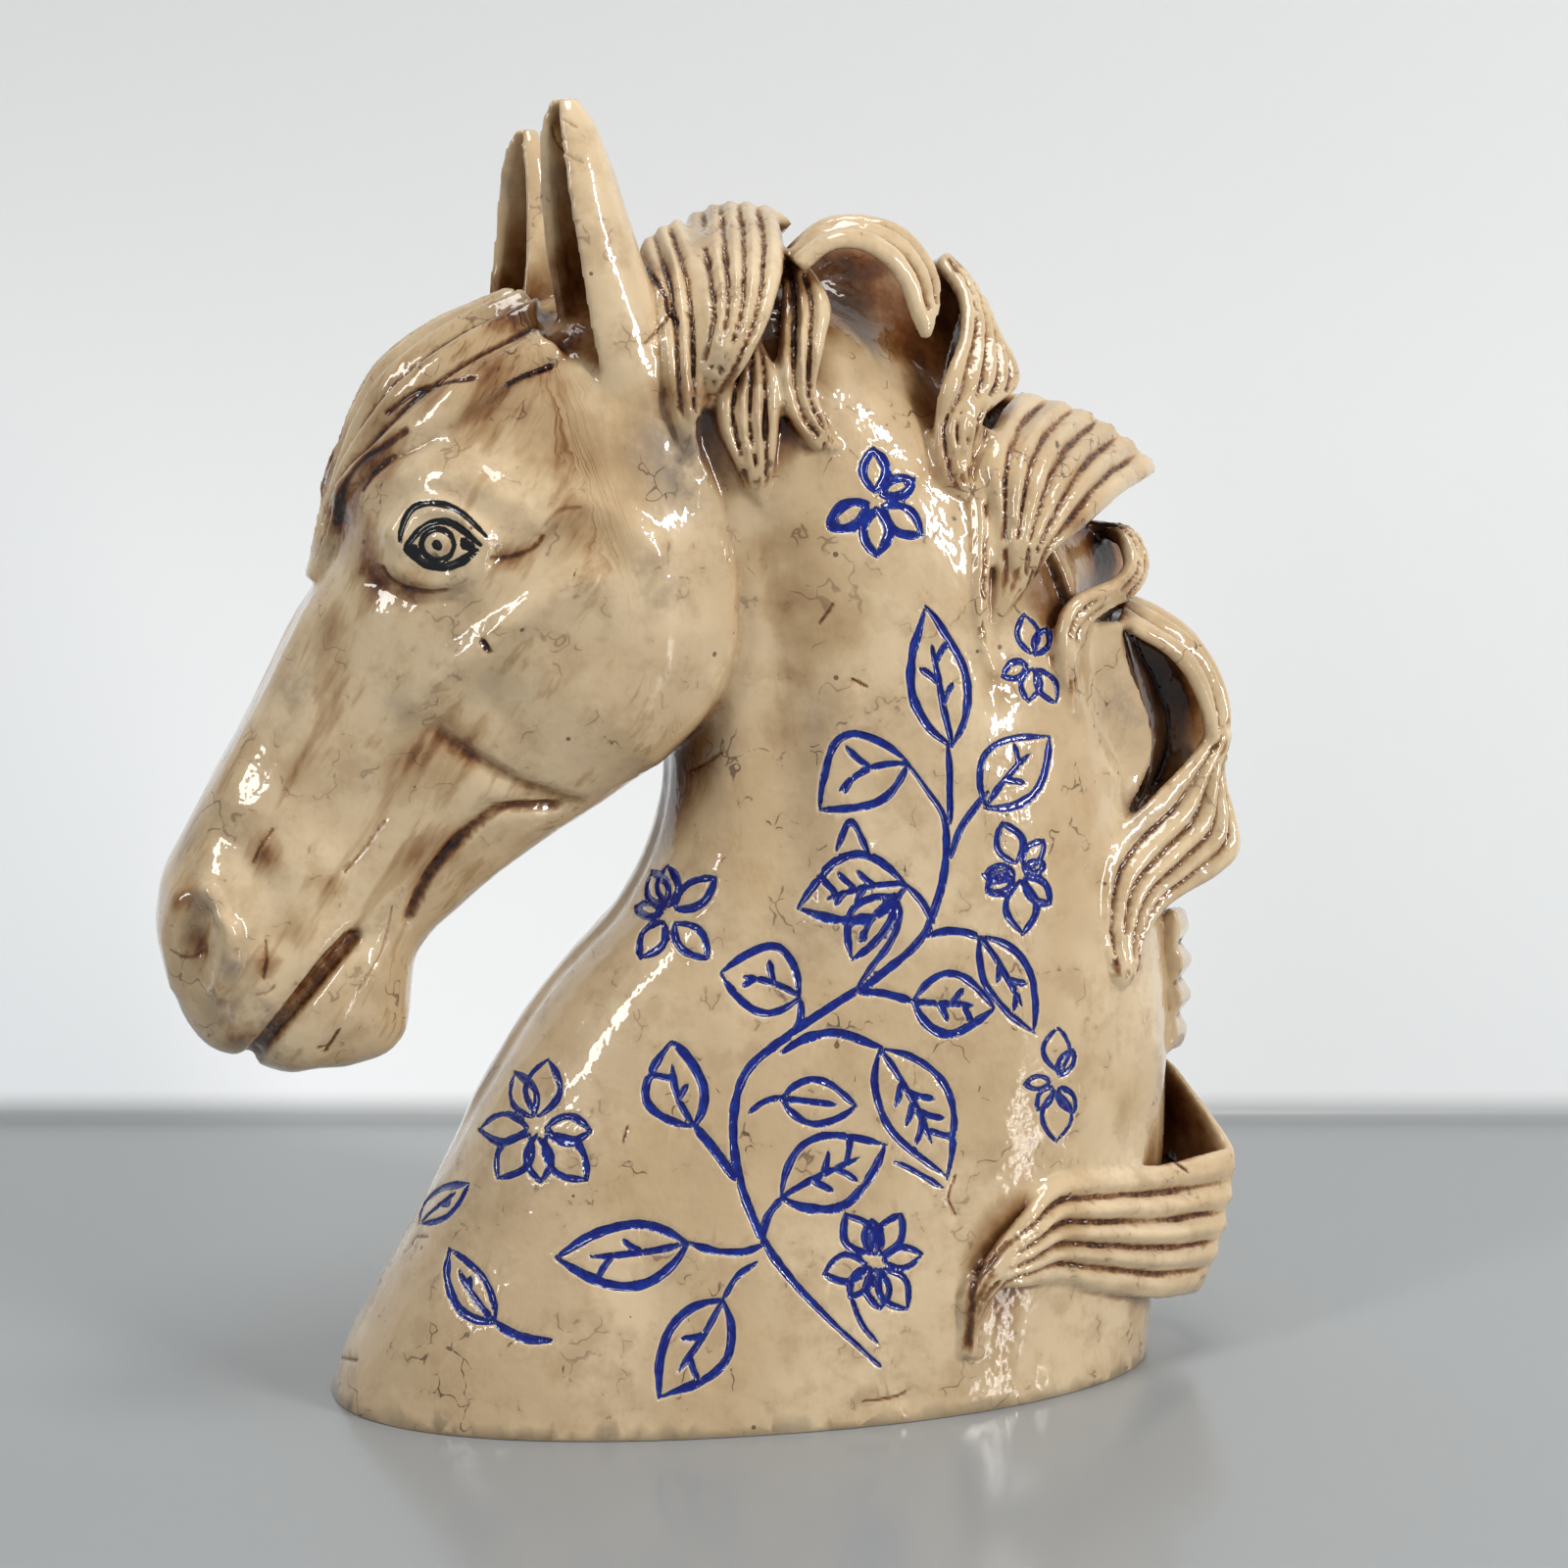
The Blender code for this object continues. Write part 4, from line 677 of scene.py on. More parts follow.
def poll_pad():
    x, y, z, long, broad, high = POLL_PAD
    up = np.linspace(-0.5, 0.5, 20)[1:-1] * math.pi
    around = np.linspace(0, 2 * math.pi, 48, endpoint=False)
    flat = np.cos(up)[:, None] * np.ones(len(around))
    return np.stack([x + long * flat * np.cos(around), y + broad * flat * np.sin(around),
                     z + high * np.sin(up)[:, None] * np.ones(len(around))], -1)


def apply_modifiers(obj):
    graph = bpy.context.evaluated_depsgraph_get()
    graph.update()
    mesh = bpy.data.meshes.new_from_object(obj.evaluated_get(graph))
    obj.modifiers.clear()
    obj.data = mesh


def clay():
    """Every form in one body of clay, before it is trimmed, and the lines along the locks."""
    neck = carved_form(NECK_STATIONS, NECK_RELIEF, NECK_RINGS, NECK_SIDES)
    head = carved_form(HEAD_STATIONS, HEAD_RELIEF, HEAD_RINGS, HEAD_SIDES)
    points, faces = [], []
    for rings in (neck[::2, ::2], head[::2, ::2]):
        more, polygons = tube(rings)
        faces += [[len(points) + v for v in p] for p in polygons]
        points += more.tolist()
    skin = BVHTree.FromPolygons(points, faces)
    forms = [neck, head, ear(NEAR_EAR), ear(FAR_EAR), poll_pad()]
    hair = [forelock(skin), *locks(skin)]
    forms += [rings for rings, _ in hair]
    points, faces, start = [], [], 0
    for rings in forms:
        more, polygons = tube(rings)
        faces += [[start + v for v in p] for p in polygons]
        points.append(more)
        start += len(more)
    mesh = bpy.data.meshes.new("horse_bust_clay")
    mesh.from_pydata((np.concatenate(points) * UNIT).tolist(), [], faces)
    bust = bpy.data.objects.new("horse_bust_clay", mesh)
    bpy.context.scene.collection.objects.link(bust)
    grain = bust.modifiers.new("grain", "REMESH")
    grain.mode = "VOXEL"
    grain.voxel_size = GRAIN
    for n, factor in enumerate(SMOOTHING):
        smooth = bust.modifiers.new(f"smooth_{n}", "SMOOTH")
        smooth.factor = factor
        smooth.iterations = 1
    apply_modifiers(bust)
    return bust, [line for _, lines in hair for line in lines]


def arrays(mesh):
    """Points, triangles and point normals of a mesh, in millimetres."""
    mesh.calc_loop_triangles()
    p = np.empty(len(mesh.vertices) * 3, np.float32)
    t = np.empty(len(mesh.loop_triangles) * 3, np.int32)
    n = np.empty(len(mesh.vertices) * 3, np.float32)
    mesh.vertices.foreach_get("co", p)
    mesh.loop_triangles.foreach_get("vertices", t)
    mesh.vertex_normals.foreach_get("vector", n)
    return p.reshape(-1, 3).astype(float) * 1000, t.reshape(-1, 3), n.reshape(-1, 3).astype(float)


def edges_of(t):
    e = np.sort(np.concatenate([t[:, [0, 1]], t[:, [1, 2]], t[:, [2, 0]]]), axis=1)
    return np.unique(e, axis=0)


def blur(values, edges, rounds):
    """The values at points, spread along the edges so many times."""
    v = np.array(values, float).reshape(len(values), -1)
    a, b = edges.T
    degree = np.bincount(a, minlength=len(v)) + np.bincount(b, minlength=len(v))
    degree = np.maximum(degree, 1)[:, None]
    for _ in range(rounds):
        near = np.stack([np.bincount(a, c[b], len(v)) + np.bincount(b, c[a], len(v)) for c in v.T], -1)
        v = 0.5 * v + 0.5 * near / degree
    return v.reshape(np.shape(values))


def hollows(p, n, edges, rounds):
    """How deep each point lies under the surface smoothed over its surroundings, in millimetres."""
    return ((blur(p, edges, rounds) - p) * n).sum(axis=1)


def point_tree(points):
    tree = KDTree(len(points))
    for i, p in enumerate(points.tolist()):
        tree.insert(p, i)
    tree.balance()
    return tree


def nearest(tree, queries):
    """The tree's nearest point to each query: its index and its distance."""
    found = [tree.find(q)[1:] for q in queries.tolist()]
    return np.array([f[0] for f in found]), np.array([f[1] for f in found])


def shelter(p, t, n, some):
    """How far some of the points are closed in by the surface around them, from 0 to 1."""
    tree = BVHTree.FromPolygons(p.tolist(), t.tolist())
    p, n = p[some], n[some]
    k = np.arange(SHELTER_RAYS) + 0.5
    up = 1 - 2 * k / SHELTER_RAYS
    turn = math.pi * (1 + 5**0.5) * k
    flat = np.sqrt(1 - up * up)
    ways = np.stack([flat * np.cos(turn), flat * np.sin(turn), up], -1)
    facing = n @ ways.T
    total = np.maximum(np.maximum(facing, 0).sum(axis=1), 1e-6)
    closed = np.zeros(len(p))
    starts = (p + n * SHELTER_START).tolist()
    for j, way in enumerate(Vector(w) for w in ways):
        for i in np.nonzero(facing[:, j] > SHELTER_SLANT)[0].tolist():
            hit = tree.ray_cast(starts[i], way, SHELTER_REACH)[3]
            if hit is not None:
                closed[i] += facing[i, j] * (1 - hit / SHELTER_REACH) ** SHELTER_FADE
    return closed / total


def refine(p, t, n, fields, too_long):
    """Splits every marked edge at its middle, laid on the curve that the normals give."""
    e = np.sort(np.concatenate([t[:, [0, 1]], t[:, [1, 2]], t[:, [2, 0]]]), axis=1)
    edges, which = np.unique(e, axis=0, return_inverse=True)
    which = which.reshape(3, -1).T
    a, b = edges.T
    marked = too_long(p[a], p[b], (p[a] + p[b]) / 2)
    number = np.full(len(edges), -1)
    number[marked] = len(p) + np.arange(marked.sum())
    a, b = a[marked], b[marked]
    middle = (p[a] + p[b]) / 2
    onto_a = middle - ((middle - p[a]) * n[a]).sum(axis=1, keepdims=True) * n[a]
    onto_b = middle - ((middle - p[b]) * n[b]).sum(axis=1, keepdims=True) * n[b]
    smooth = (n[a] * n[b]).sum(axis=1, keepdims=True) > SHARPEST_BEND
    curved = np.where(smooth, (1 - CURVE) * middle + CURVE / 2 * (onto_a + onto_b), middle)
    p2 = np.concatenate([p, curved])
    n2 = np.concatenate([n, unit(n[a] + n[b])])
    fields2 = np.concatenate([fields, (fields[a] + fields[b]) / 2])
    m = number[which]
    count = (m >= 0).sum(axis=1)
    out = [t[count == 0]]
    for turn in range(3):
        v, k = np.roll(t, -turn, axis=1), np.roll(m, -turn, axis=1)
        one = (count == 1) & (k[:, 0] >= 0)
        x, y, z, xy = v[one, 0], v[one, 1], v[one, 2], k[one, 0]
        out += [np.stack([x, xy, z], -1), np.stack([xy, y, z], -1)]
        two = (count == 2) & (k[:, 2] < 0)
        x, y, z, xy, yz = v[two, 0], v[two, 1], v[two, 2], k[two, 0], k[two, 1]
        out += [np.stack([xy, y, yz], -1), np.stack([x, xy, yz], -1), np.stack([x, yz, z], -1)]
    three = count == 3
    x, y, z = t[three].T
    xy, yz, zx = m[three].T
    out += [np.stack(c, -1) for c in ((x, xy, zx), (xy, y, yz), (zx, yz, z), (xy, yz, zx))]
    return p2, np.concatenate(out), n2, fields2


def camera_axes():
    a, e = math.radians(CAMERA_AZIMUTH), math.radians(CAMERA_ELEVATION)
    back = np.array([math.sin(a) * math.cos(e), -math.cos(a) * math.cos(e), math.sin(e)])
    right = np.array([math.cos(a), math.sin(a), 0.0])
    return back, right, np.cross(back, right)


class Skin:
    """The surface that marks are cut into, found from the picture."""

    def __init__(self, p, t):
        self.tree = BVHTree.FromPolygons(p.tolist(), t.tolist())
        self.eye = np.array(CAMERA_PLACE) * 1000
        self.axes = camera_axes()

    def spots(self, path, mirrored=False):
        """The places on the skin behind these pixels, left out where there are none."""
        back, right, up = self.axes
        found = []
        scale = LENS / SENSOR * PICTURE
        flip = np.array([1, -1 if mirrored else 1, 1])
        for u, v in path:
            way = -back + right * ((u - PICTURE / 2) / scale) + up * ((PICTURE / 2 - v) / scale)
            hit = self.tree.ray_cast(Vector(self.eye * flip), Vector(way * flip))[0]
            if hit is not None:
                found.append(tuple(hit))
        return found


def even(line, spacing):
    """The points of a line at an even spacing, with whatever each carries after its place."""
    run = np.concatenate([[0], np.cumsum(np.linalg.norm(np.diff(line[:, :3], axis=0), axis=1))])
    at = np.linspace(0, run[-1], max(2, round(run[-1] / spacing) + 1))
    return np.stack([np.interp(at, run, column) for column in line.T], -1)


def sampled(path, spacing=1.3):
    """Points along a smooth path at an even spacing, and their shares of its run."""
    points = even(spline(path, np.linspace(0, 1, 24 * len(path))), spacing)
    return points, np.linspace(0, 1, len(points))


class Lines:
    """Lines cut into the skin, as points with a half width each."""

    def __init__(self, skin, breadth=1.0):
        self.skin, self.breadth, self.rng = skin, breadth, random.Random(SEED)
        self.points, self.widths, self.strengths, self.edges = [], [], [], []

    def keep(self, spot, half, strength, edge):
        self.points.append(tuple(spot))
        self.widths.append(half * self.breadth)
        self.strengths.append(strength)
        self.edges.append(edge)

    def engrave(self, line):
        """A line along a lock, given by places and the room for it at each, that comes and goes a little."""
        start = self.rng.uniform(0, 99)
        for k, (x, y, z, room) in enumerate(even(line, MANE_SPACING)):
            at = Vector((start + k * 0.018, 0.0, 0.0))
            strength = room * min(1.0, 0.92 + 0.7 * noise.noise(at))
            if strength > 0.12:
                drift = noise.noise_vector(at * 2.5) * 0.35
                spot = (x + drift.x, y + drift.y, z + drift.z)
                self.keep(spot, MANE_LINE * (0.55 + 0.45 * strength), strength, MANE_EDGE)

    def add(self, path, half, ends=0.45, wobble=0.5, mirrored=False):
        """One stroke, thinner towards its ends and a little unsteady."""
        path, shares = sampled(path)
        start, rate = self.rng.uniform(0, 99), 0.035
        for (u, v), s in zip(path, shares):
            at = Vector((start + s * len(shares) * rate, 0.0, 0.0))
            drift = noise.noise_vector(at) * wobble * 2
            thick = 1 + 0.30 * noise.noise(at * 2.3 + Vector((0, 7, 0)))
            taper = ends + (1 - ends) * min(1.0, 4 * min(s, 1 - s) ** 0.8)
            for spot in self.skin.spots([(u + drift.x, v + drift.y)], mirrored):
                self.keep(spot, half * taper * thick, 1.0, FAR_VINE_EDGE if mirrored else VINE_EDGE)

    def leaf(self, bx, by, tx, ty, right, left, veins, mirrored=False):
        """A leaf from its base to its tip: two outlines, a midrib and side veins."""
        base, tip = np.array([bx, by], float), np.array([tx, ty], float)
        axis = tip - base
        side = np.array([axis[1], -axis[0]]) / np.hypot(*axis)
        t = np.linspace(0, 1, 9)
        swell = np.sin(math.pi * t**0.85)
        for bulge in (right, -left):
            gap = 0.04 * self.rng.uniform(0, 1)
            outline = base + axis * t[:, None] * (1 - gap) + side * (swell * bulge)[:, None]
            self.add(outline, LEAF_LINE * self.rng.uniform(0.85, 1.15), 0.3, 0.8, mirrored)
        lean = (right - left) / 2
        rib = base + axis * t[:, None] * 0.72 + side * (np.sin(math.pi * t * 0.8) * lean * 0.8)[:, None]
        self.add(rib, VEIN_LINE, 0.35, 0.6, mirrored)
        for k in range(veins):
            share = 0.22 + 0.48 * (k + 0.5) / veins
            way = 1 if k % 2 else -1
            reach = (right if way > 0 else left) * 0.62
            root = spline(rib, np.array(share / 0.80)) + axis * 0.03
            end = root + axis * 0.13 + side * way * reach * self.rng.uniform(0.75, 1.0)
            self.add([root, (root + end) / 2 + axis * 0.012, end], VEIN_LINE * 0.95, 0.4, 0.4, mirrored)

    def flower(self, centre, half, petals, mirrored=False):
        """Pointed petals round a centre, each of two curved lines."""
        for degrees, length in petals:
            a = math.radians(degrees + self.rng.uniform(-2, 2))
            axis = np.array([math.cos(a), math.sin(a)]) * length
            side = np.array([axis[1], -axis[0]]) / length
            t = np.linspace(0, 1, 7)
            broad = length * self.rng.uniform(0.19, 0.25)
            for way in (1, -1):
                near = 0.13 + 0.05 * self.rng.uniform(0, 1)
                reach = (near + (1 - near) * t * self.rng.uniform(0.92, 1.0))[:, None]
                swell = (way * broad * np.sin(math.pi * t**0.95))[:, None]
                outline = np.array(centre) + axis * reach + side * swell
                self.add(outline, half * self.rng.uniform(0.85, 1.15), 0.4, 0.6, mirrored)

    def measure(self, p, n):
        """For each point, how far it is beyond the nearest line, that over its half width, its strength.

        The distance is along the skin, so a line drawn a little over or under it counts as lying on it.
        """
        places = np.array(self.points)
        index, far = nearest(point_tree(places), p)
        off = ((p - places[index]) * n).sum(axis=1)
        far = np.where(np.abs(off) < LINE_REACH, np.sqrt(np.maximum(far**2 - off**2, 0.0)), far)
        half = np.array(self.widths)[index]
        return far - half, far / half, np.array(self.strengths)[index]


def drawn_lines(skin):
    """The vine and the ink round the eyes, first on the near side, then on the far side."""
    blue, ink = Lines(skin, VINE_BREADTH), Lines(skin)
    near = (False, STEMS, LEAVES, FLOWERS)
    far = (True, STEMS[:1], [LEAVES[k] for k in FAR_LEAVES], [FLOWERS[k] for k in FAR_FLOWERS])
    for mirrored, stems, leaves, flowers in (near, far):
        for path, half in stems:
            blue.add(path, half, mirrored=mirrored)
        for leaf in leaves:
            blue.leaf(*leaf, mirrored=mirrored)
        for flower in flowers:
            blue.flower(*flower, mirrored=mirrored)
        for path, half in INK:
            ink.add(path, half, DOT_END if len(path) == 2 else STROKE_END, 0.3, mirrored)
    ink.edges = [INK_EDGE if y < 0 else FAR_INK_EDGE for _, y, _ in ink.points]
    return blue, ink


def laid_paths(skin, table, both):
    """The paths of a table as spots on the skin, each with its values, the first of them on both sides."""
    for k, (path, *values) in enumerate(table):
        for mirrored in (False, True)[: 1 + (k < both)]:
            spots = skin.spots(sampled(path, CUT_SPACING)[0], mirrored)
            if len(spots) > 1:
                yield spots, *values


def brush_distance(p, spots):
    """Each point's distance from the path through these spots, counted only near them."""
    spots = np.array(spots)
    far = np.full(len(p), 99.0)
    low, high = spots.min(axis=0) - 14, spots.max(axis=0) + 14
    close = np.nonzero(((p > low) & (p < high)).all(axis=1))[0]
    q = p[close]
    best = np.full(len(q), 99.0)
    for a, b in zip(spots[:-1], spots[1:]):
        d = b - a
        s = np.clip(((q - a) @ d) / max(d @ d, 1e-9), 0, 1)
        best = np.minimum(best, np.linalg.norm(q - a - s[:, None] * d, axis=1))
    far[close] = best
    return far


def trim(bust):
    """Thins the clay, cuts its foot flat at the floor and closes it."""
    thin = bust.modifiers.new("thin", "DECIMATE")
    thin.ratio = KEPT_FACES / (2 * len(bust.data.polygons))
    apply_modifiers(bust)
    bm = bmesh.new()
    bm.from_mesh(bust.data)
    bmesh.ops.bisect_plane(
        bm, geom=bm.verts[:] + bm.edges[:] + bm.faces[:], plane_co=(0, 0, 0), plane_no=(0, 0, -1),
        clear_outer=True, dist=2e-4,
    )
    bmesh.ops.holes_fill(bm, edges=[e for e in bm.edges if e.is_boundary])
    bmesh.ops.triangulate(bm, faces=bm.faces[:])
    bm.to_mesh(bust.data)
    bm.free()


def spread(skin, p, marks):
    """Soft round smudges on the skin, added up at each point."""
    total = np.zeros(len(p))
    for u, v, reach, strength in marks:
        for mirrored in (False, True):
            for spot in skin.spots([(u, v)], mirrored):
                far = np.linalg.norm(p - spot, axis=1)
                total = 1 - (1 - total) * (1 - strength * np.exp(-((far / (SMUDGE_GROWTH * reach)) ** 2)))
    return total


def face_share(p):
    """Whether each point is on the face, ahead of the cheek and above the chest, from 0 to 1."""
    ahead = smooth_step(-2.0, -14.0, (p[:, 0] + 20) + 0.35 * (p[:, 2] - 200))
    return ahead * smooth_step(-6.0, 6.0, p[:, 2] - 1.05 * p[:, 0] - 166)


def noise_field(p, scale, seed):
    offset = Vector((seed, -seed, 2 * seed))
    return np.array([noise.noise(Vector(q) * scale + offset) for q in p.tolist()])


def bust_object(p, t, fields):
    """The finished surface with what the glaze reads at each point, thinned where it is smooth."""
    mesh = bpy.data.meshes.new("horse_bust_glazed")
    mesh.from_pydata((p / 1000).tolist(), [], t.tolist())
    for name, values in fields.items():
        mesh.attributes.new(name, "FLOAT", "POINT").data.foreach_set("value", np.asarray(values, np.float32))
    bust = bpy.data.objects.new("horse_bust_glazed", mesh)
    bpy.context.scene.collection.objects.link(bust)
    thin = bust.modifiers.new("thin", "DECIMATE")
    thin.ratio = min(1.0, FINAL_FACES / len(t))
    apply_modifiers(bust)
    bust.data.name = "horse_bust_glazed"
    bust.data.shade_smooth()
    p, t, _ = arrays(bust.data)
    under = (np.abs(p[t][:, :, 2]) < UNDERSIDE).all(axis=1)
    marks = bust.data.attributes
    flat = marks.get("sharp_face") or marks.new("sharp_face", "BOOLEAN", "FACE")
    flat.data.foreach_set("value", under)
    return bust


def measured_clay():
    """The trimmed clay, its fine and broad hollows and its shelter, and the lines along the locks."""
    body, hair_lines = clay()
    dense, dense_t, dense_n = arrays(body.data)
    dense_edges = edges_of(dense_t)
    fine, broad = [hollows(dense, dense_n, dense_edges, rounds) for rounds in HOLLOW_ROUNDS]
    trim(body)
    p, t, n = arrays(body.data)
    bpy.data.objects.remove(body, do_unlink=True)
    edges = edges_of(t)
    some = np.arange(0, len(p), SHELTER_STEP)
    index, _ = nearest(point_tree(p[some]), p)
    shade = blur(shelter(p, t, n, some)[index], edges, SHELTER_BLUR)
    index, _ = nearest(point_tree(dense), p)
    hollow = blur(np.stack([fine[index], broad[index]], -1), edges, 1)
    return p, t, n, np.column_stack([hollow, shade]), hair_lines


def edge_test(guides, finest):
    """A function that marks the edges which are too long for the guide beside them."""
    tree = point_tree(guides)

    def too_long(a, b, middle):
        length = np.linalg.norm(a - b, axis=1)
        under = (np.abs(a[:, 2]) < UNDERSIDE) & (np.abs(b[:, 2]) < UNDERSIDE)
        check = np.nonzero((length > INK_EDGE) & ~under)[0]
        index, far = nearest(tree, middle[check])
        limit = finest[index] + np.maximum(far - EDGE_REACH, 0) * EDGE_GROWTH
        marked = np.zeros(len(a), bool)
        marked[check] = length[check] > np.minimum(limit, LONGEST_EDGE)
        return marked

    return too_long


def make_bust():
    """The clay made fine beside every line, cut by the lines and marks, with what the glaze needs to know."""
    p, t, n, fields, hair_lines = measured_clay()
    skin = Skin(p, t)
    blue, ink = drawn_lines(skin)
    mane = Lines(skin)
    for line in hair_lines:
        mane.engrave(line)
    cuts = list(laid_paths(skin, CUTS, FACE_CUTS))
    fine_cuts = [spot for spots, half, _, _ in cuts if half < FINE_CUT for spot in spots]
    guides = np.array(blue.points + ink.points + mane.points + fine_cuts)
    finest = np.array(blue.edges + ink.edges + mane.edges + [CUT_EDGE] * len(fine_cuts))
    too_long = edge_test(guides, finest)
    for _ in range(SPLIT_ROUNDS):
        p, t, n, fields = refine(p, t, n, fields, too_long)

    fine, broad, shade = fields.T
    n = unit(n)
    vine, vine_share, _ = blue.measure(p, n)
    lines, lines_share, _ = ink.measure(p, n)
    _, mane_share, mane_strength = mane.measure(p, n)
    rise = sum(height * noise_field(p, scale, start) for height, scale, start in RIPPLES)
    cut_wash_and_shade = np.zeros(len(p))
    for spots, half, depth, dark in cuts:
        share = brush_distance(p, spots) / half
        rise -= depth * (1 - smooth_step(*CUT_WALL, share))
        # The darkness of the cuts: wash, and painted shade in the crease along the cheek's lower edge.
        cut_wash_and_shade = np.maximum(cut_wash_and_shade, dark * (1 - smooth_step(*CUT_WASH_AND_SHADE, share)))
    for spots, half, height in laid_paths(skin, SWELLS, FACE_SWELLS):
        rise += height * np.exp(-((brush_distance(p, spots) / half) ** 2))
    rise -= LINE_DEPTH * (1 - smooth_step(*LINE_WALL, vine_share))
    rise += BURR * np.exp(-(((vine - 0.30) / 0.30) ** 2))
    rise -= INK_DEPTH * (1 - smooth_step(*LINE_WALL, lines_share))
    rise -= MANE_DEPTH * mane_strength * (1 - smooth_step(*MANE_WALL, mane_share))
    moved = p + n * (rise * smooth_step(0.0, 1.5, p[:, 2]))[:, None]
    moved[:, 2] = np.maximum(moved[:, 2], 0.0)

    wash_and_shade = np.maximum(cut_wash_and_shade, CREASE_WASH * smooth_step(0.15, 0.60, fine))
    wash_and_shade = np.maximum(wash_and_shade, MANE_WASH * mane_strength * (1 - smooth_step(*MANE_STAIN, mane_share)))
    wash_and_shade = np.maximum(wash_and_shade, HOLLOW_WASH * smooth_step(0.5, 2.6, broad))
    # In sheltered places the brown is partly the wash and partly painted shade.
    wash_and_shade = np.maximum(wash_and_shade, SHELTER_WASH_AND_SHADE * smooth_step(0.30, 0.85, shade))
    return bust_object(moved, t, {
        "vine": np.clip(vine, -2, 4), "ink": np.clip(lines, -2, 4), "wash_and_shade": wash_and_shade, "shelter": shade,
        "smudge_and_shade": spread(skin, p, BROWN), "grey": spread(skin, p, GREY), "face": face_share(p),
    })


def linear(red, green, blue):
    """A colour given in display steps of 0 to 255, as the shader takes it."""
    steps = (c / 255 for c in (red, green, blue))
    return tuple(c / 12.92 if c <= 0.04045 else ((c + 0.055) / 1.055) ** 2.4 for c in steps) + (1.0,)


class Graph:
    """A material's nodes, made in order."""

    def __init__(self, name):
        self.material = bpy.data.materials.new(name)
        self.material.use_nodes = True
        self.tree = self.material.node_tree
        self.shader = self.tree.nodes["Principled BSDF"]

    def feed(self, socket, value):
        if isinstance(value, bpy.types.NodeSocket):
            self.tree.links.new(value, socket)
        else:
            socket.default_value = value

    def node(self, kind, inputs=(), **settings):
        made = self.tree.nodes.new(kind)
        for key, value in settings.items():
            setattr(made, key, value)
        for key, value in dict(inputs).items():
            self.feed(made.inputs[key], value)
        return made

    def attribute(self, name):
        return self.node("ShaderNodeAttribute", attribute_name=name).outputs["Fac"]

    def math(self, operation, a, b, clamp=False):
        made = self.node("ShaderNodeMath", operation=operation, use_clamp=clamp)
        for socket, value in zip(made.inputs, (a, b)):
            self.feed(socket, value)
        return made.outputs[0]

    def add(self, a, b, clamp=False):
        return self.math("ADD", a, b, clamp=clamp)

    def times(self, a, b):
        return self.math("MULTIPLY", a, b)

    def step(self, low, high, value, to=(0.0, 1.0)):
        made = self.node("ShaderNodeMapRange", interpolation_type="SMOOTHSTEP")
        for socket, v in zip(made.inputs, (value, low, high, to[0], to[1])):
            self.feed(socket, v)
        return made.outputs[0]

    def mix(self, share, a, b):
        made = self.node("ShaderNodeMix", data_type="RGBA")
        for socket, value in ((made.inputs[0], share), (made.inputs[6], a), (made.inputs[7], b)):
            self.feed(socket, value)
        return made.outputs[2]

    def ramp(self, value, stops):
        made = self.node("ShaderNodeValToRGB", {"Fac": value})
        ramp = made.color_ramp
        while len(ramp.elements) < len(stops):
            ramp.elements.new(0.5)
        for element, (at, colour) in zip(ramp.elements, stops):
            element.position, element.color = at, colour
        return made.outputs["Color"]

    def stretched(self, vector, scale, turn):
        turned = self.node("ShaderNodeMapping", {"Vector": vector, "Rotation": (0.0, turn, 0.0)})
        return self.node("ShaderNodeMapping", {"Vector": turned.outputs[0], "Scale": scale}).outputs[0]

    def noise(self, vector, scale, detail, rough=0.5):
        settings = {"Vector": vector, "Scale": scale, "Detail": detail, "Roughness": rough}
        return self.node("ShaderNodeTexNoise", settings).outputs["Fac"]

    def dots(self, vector, scale, share, size):
        """Small spots in so large a share of the cells, each of about so many parts of a cell."""
        cells = self.node("ShaderNodeTexVoronoi", {"Vector": vector, "Scale": scale})
        chance = self.node("ShaderNodeSeparateColor", {"Color": cells.outputs["Color"]})
        picked = self.math("GREATER_THAN", chance.outputs[0], 1 - share)
        radius = self.times(chance.outputs[1], size)
        inside = self.math("LESS_THAN", cells.outputs["Distance"], radius)
        return self.times(picked, inside)

    def cracks(self, vector, scale, width, bend, broken):
        """Thin lines between cells, bent by noise, and there only where broken is high."""
        drift = self.node("ShaderNodeTexNoise", {"Vector": vector, "Scale": scale * 2.5, "Detail": 1.0})
        bent = self.node("ShaderNodeVectorMath", operation="MULTIPLY_ADD")
        for socket, value in zip(bent.inputs, (drift.outputs["Color"], (bend, bend, bend), vector)):
            self.feed(socket, value)
        settings = {"Vector": bent.outputs[0], "Scale": scale}
        cells = self.node("ShaderNodeTexVoronoi", settings, feature="DISTANCE_TO_EDGE")
        line = self.step(width * 0.4, width, cells.outputs["Distance"], (1.0, 0.0))
        return self.times(line, self.step(0.53, 0.60, broken))


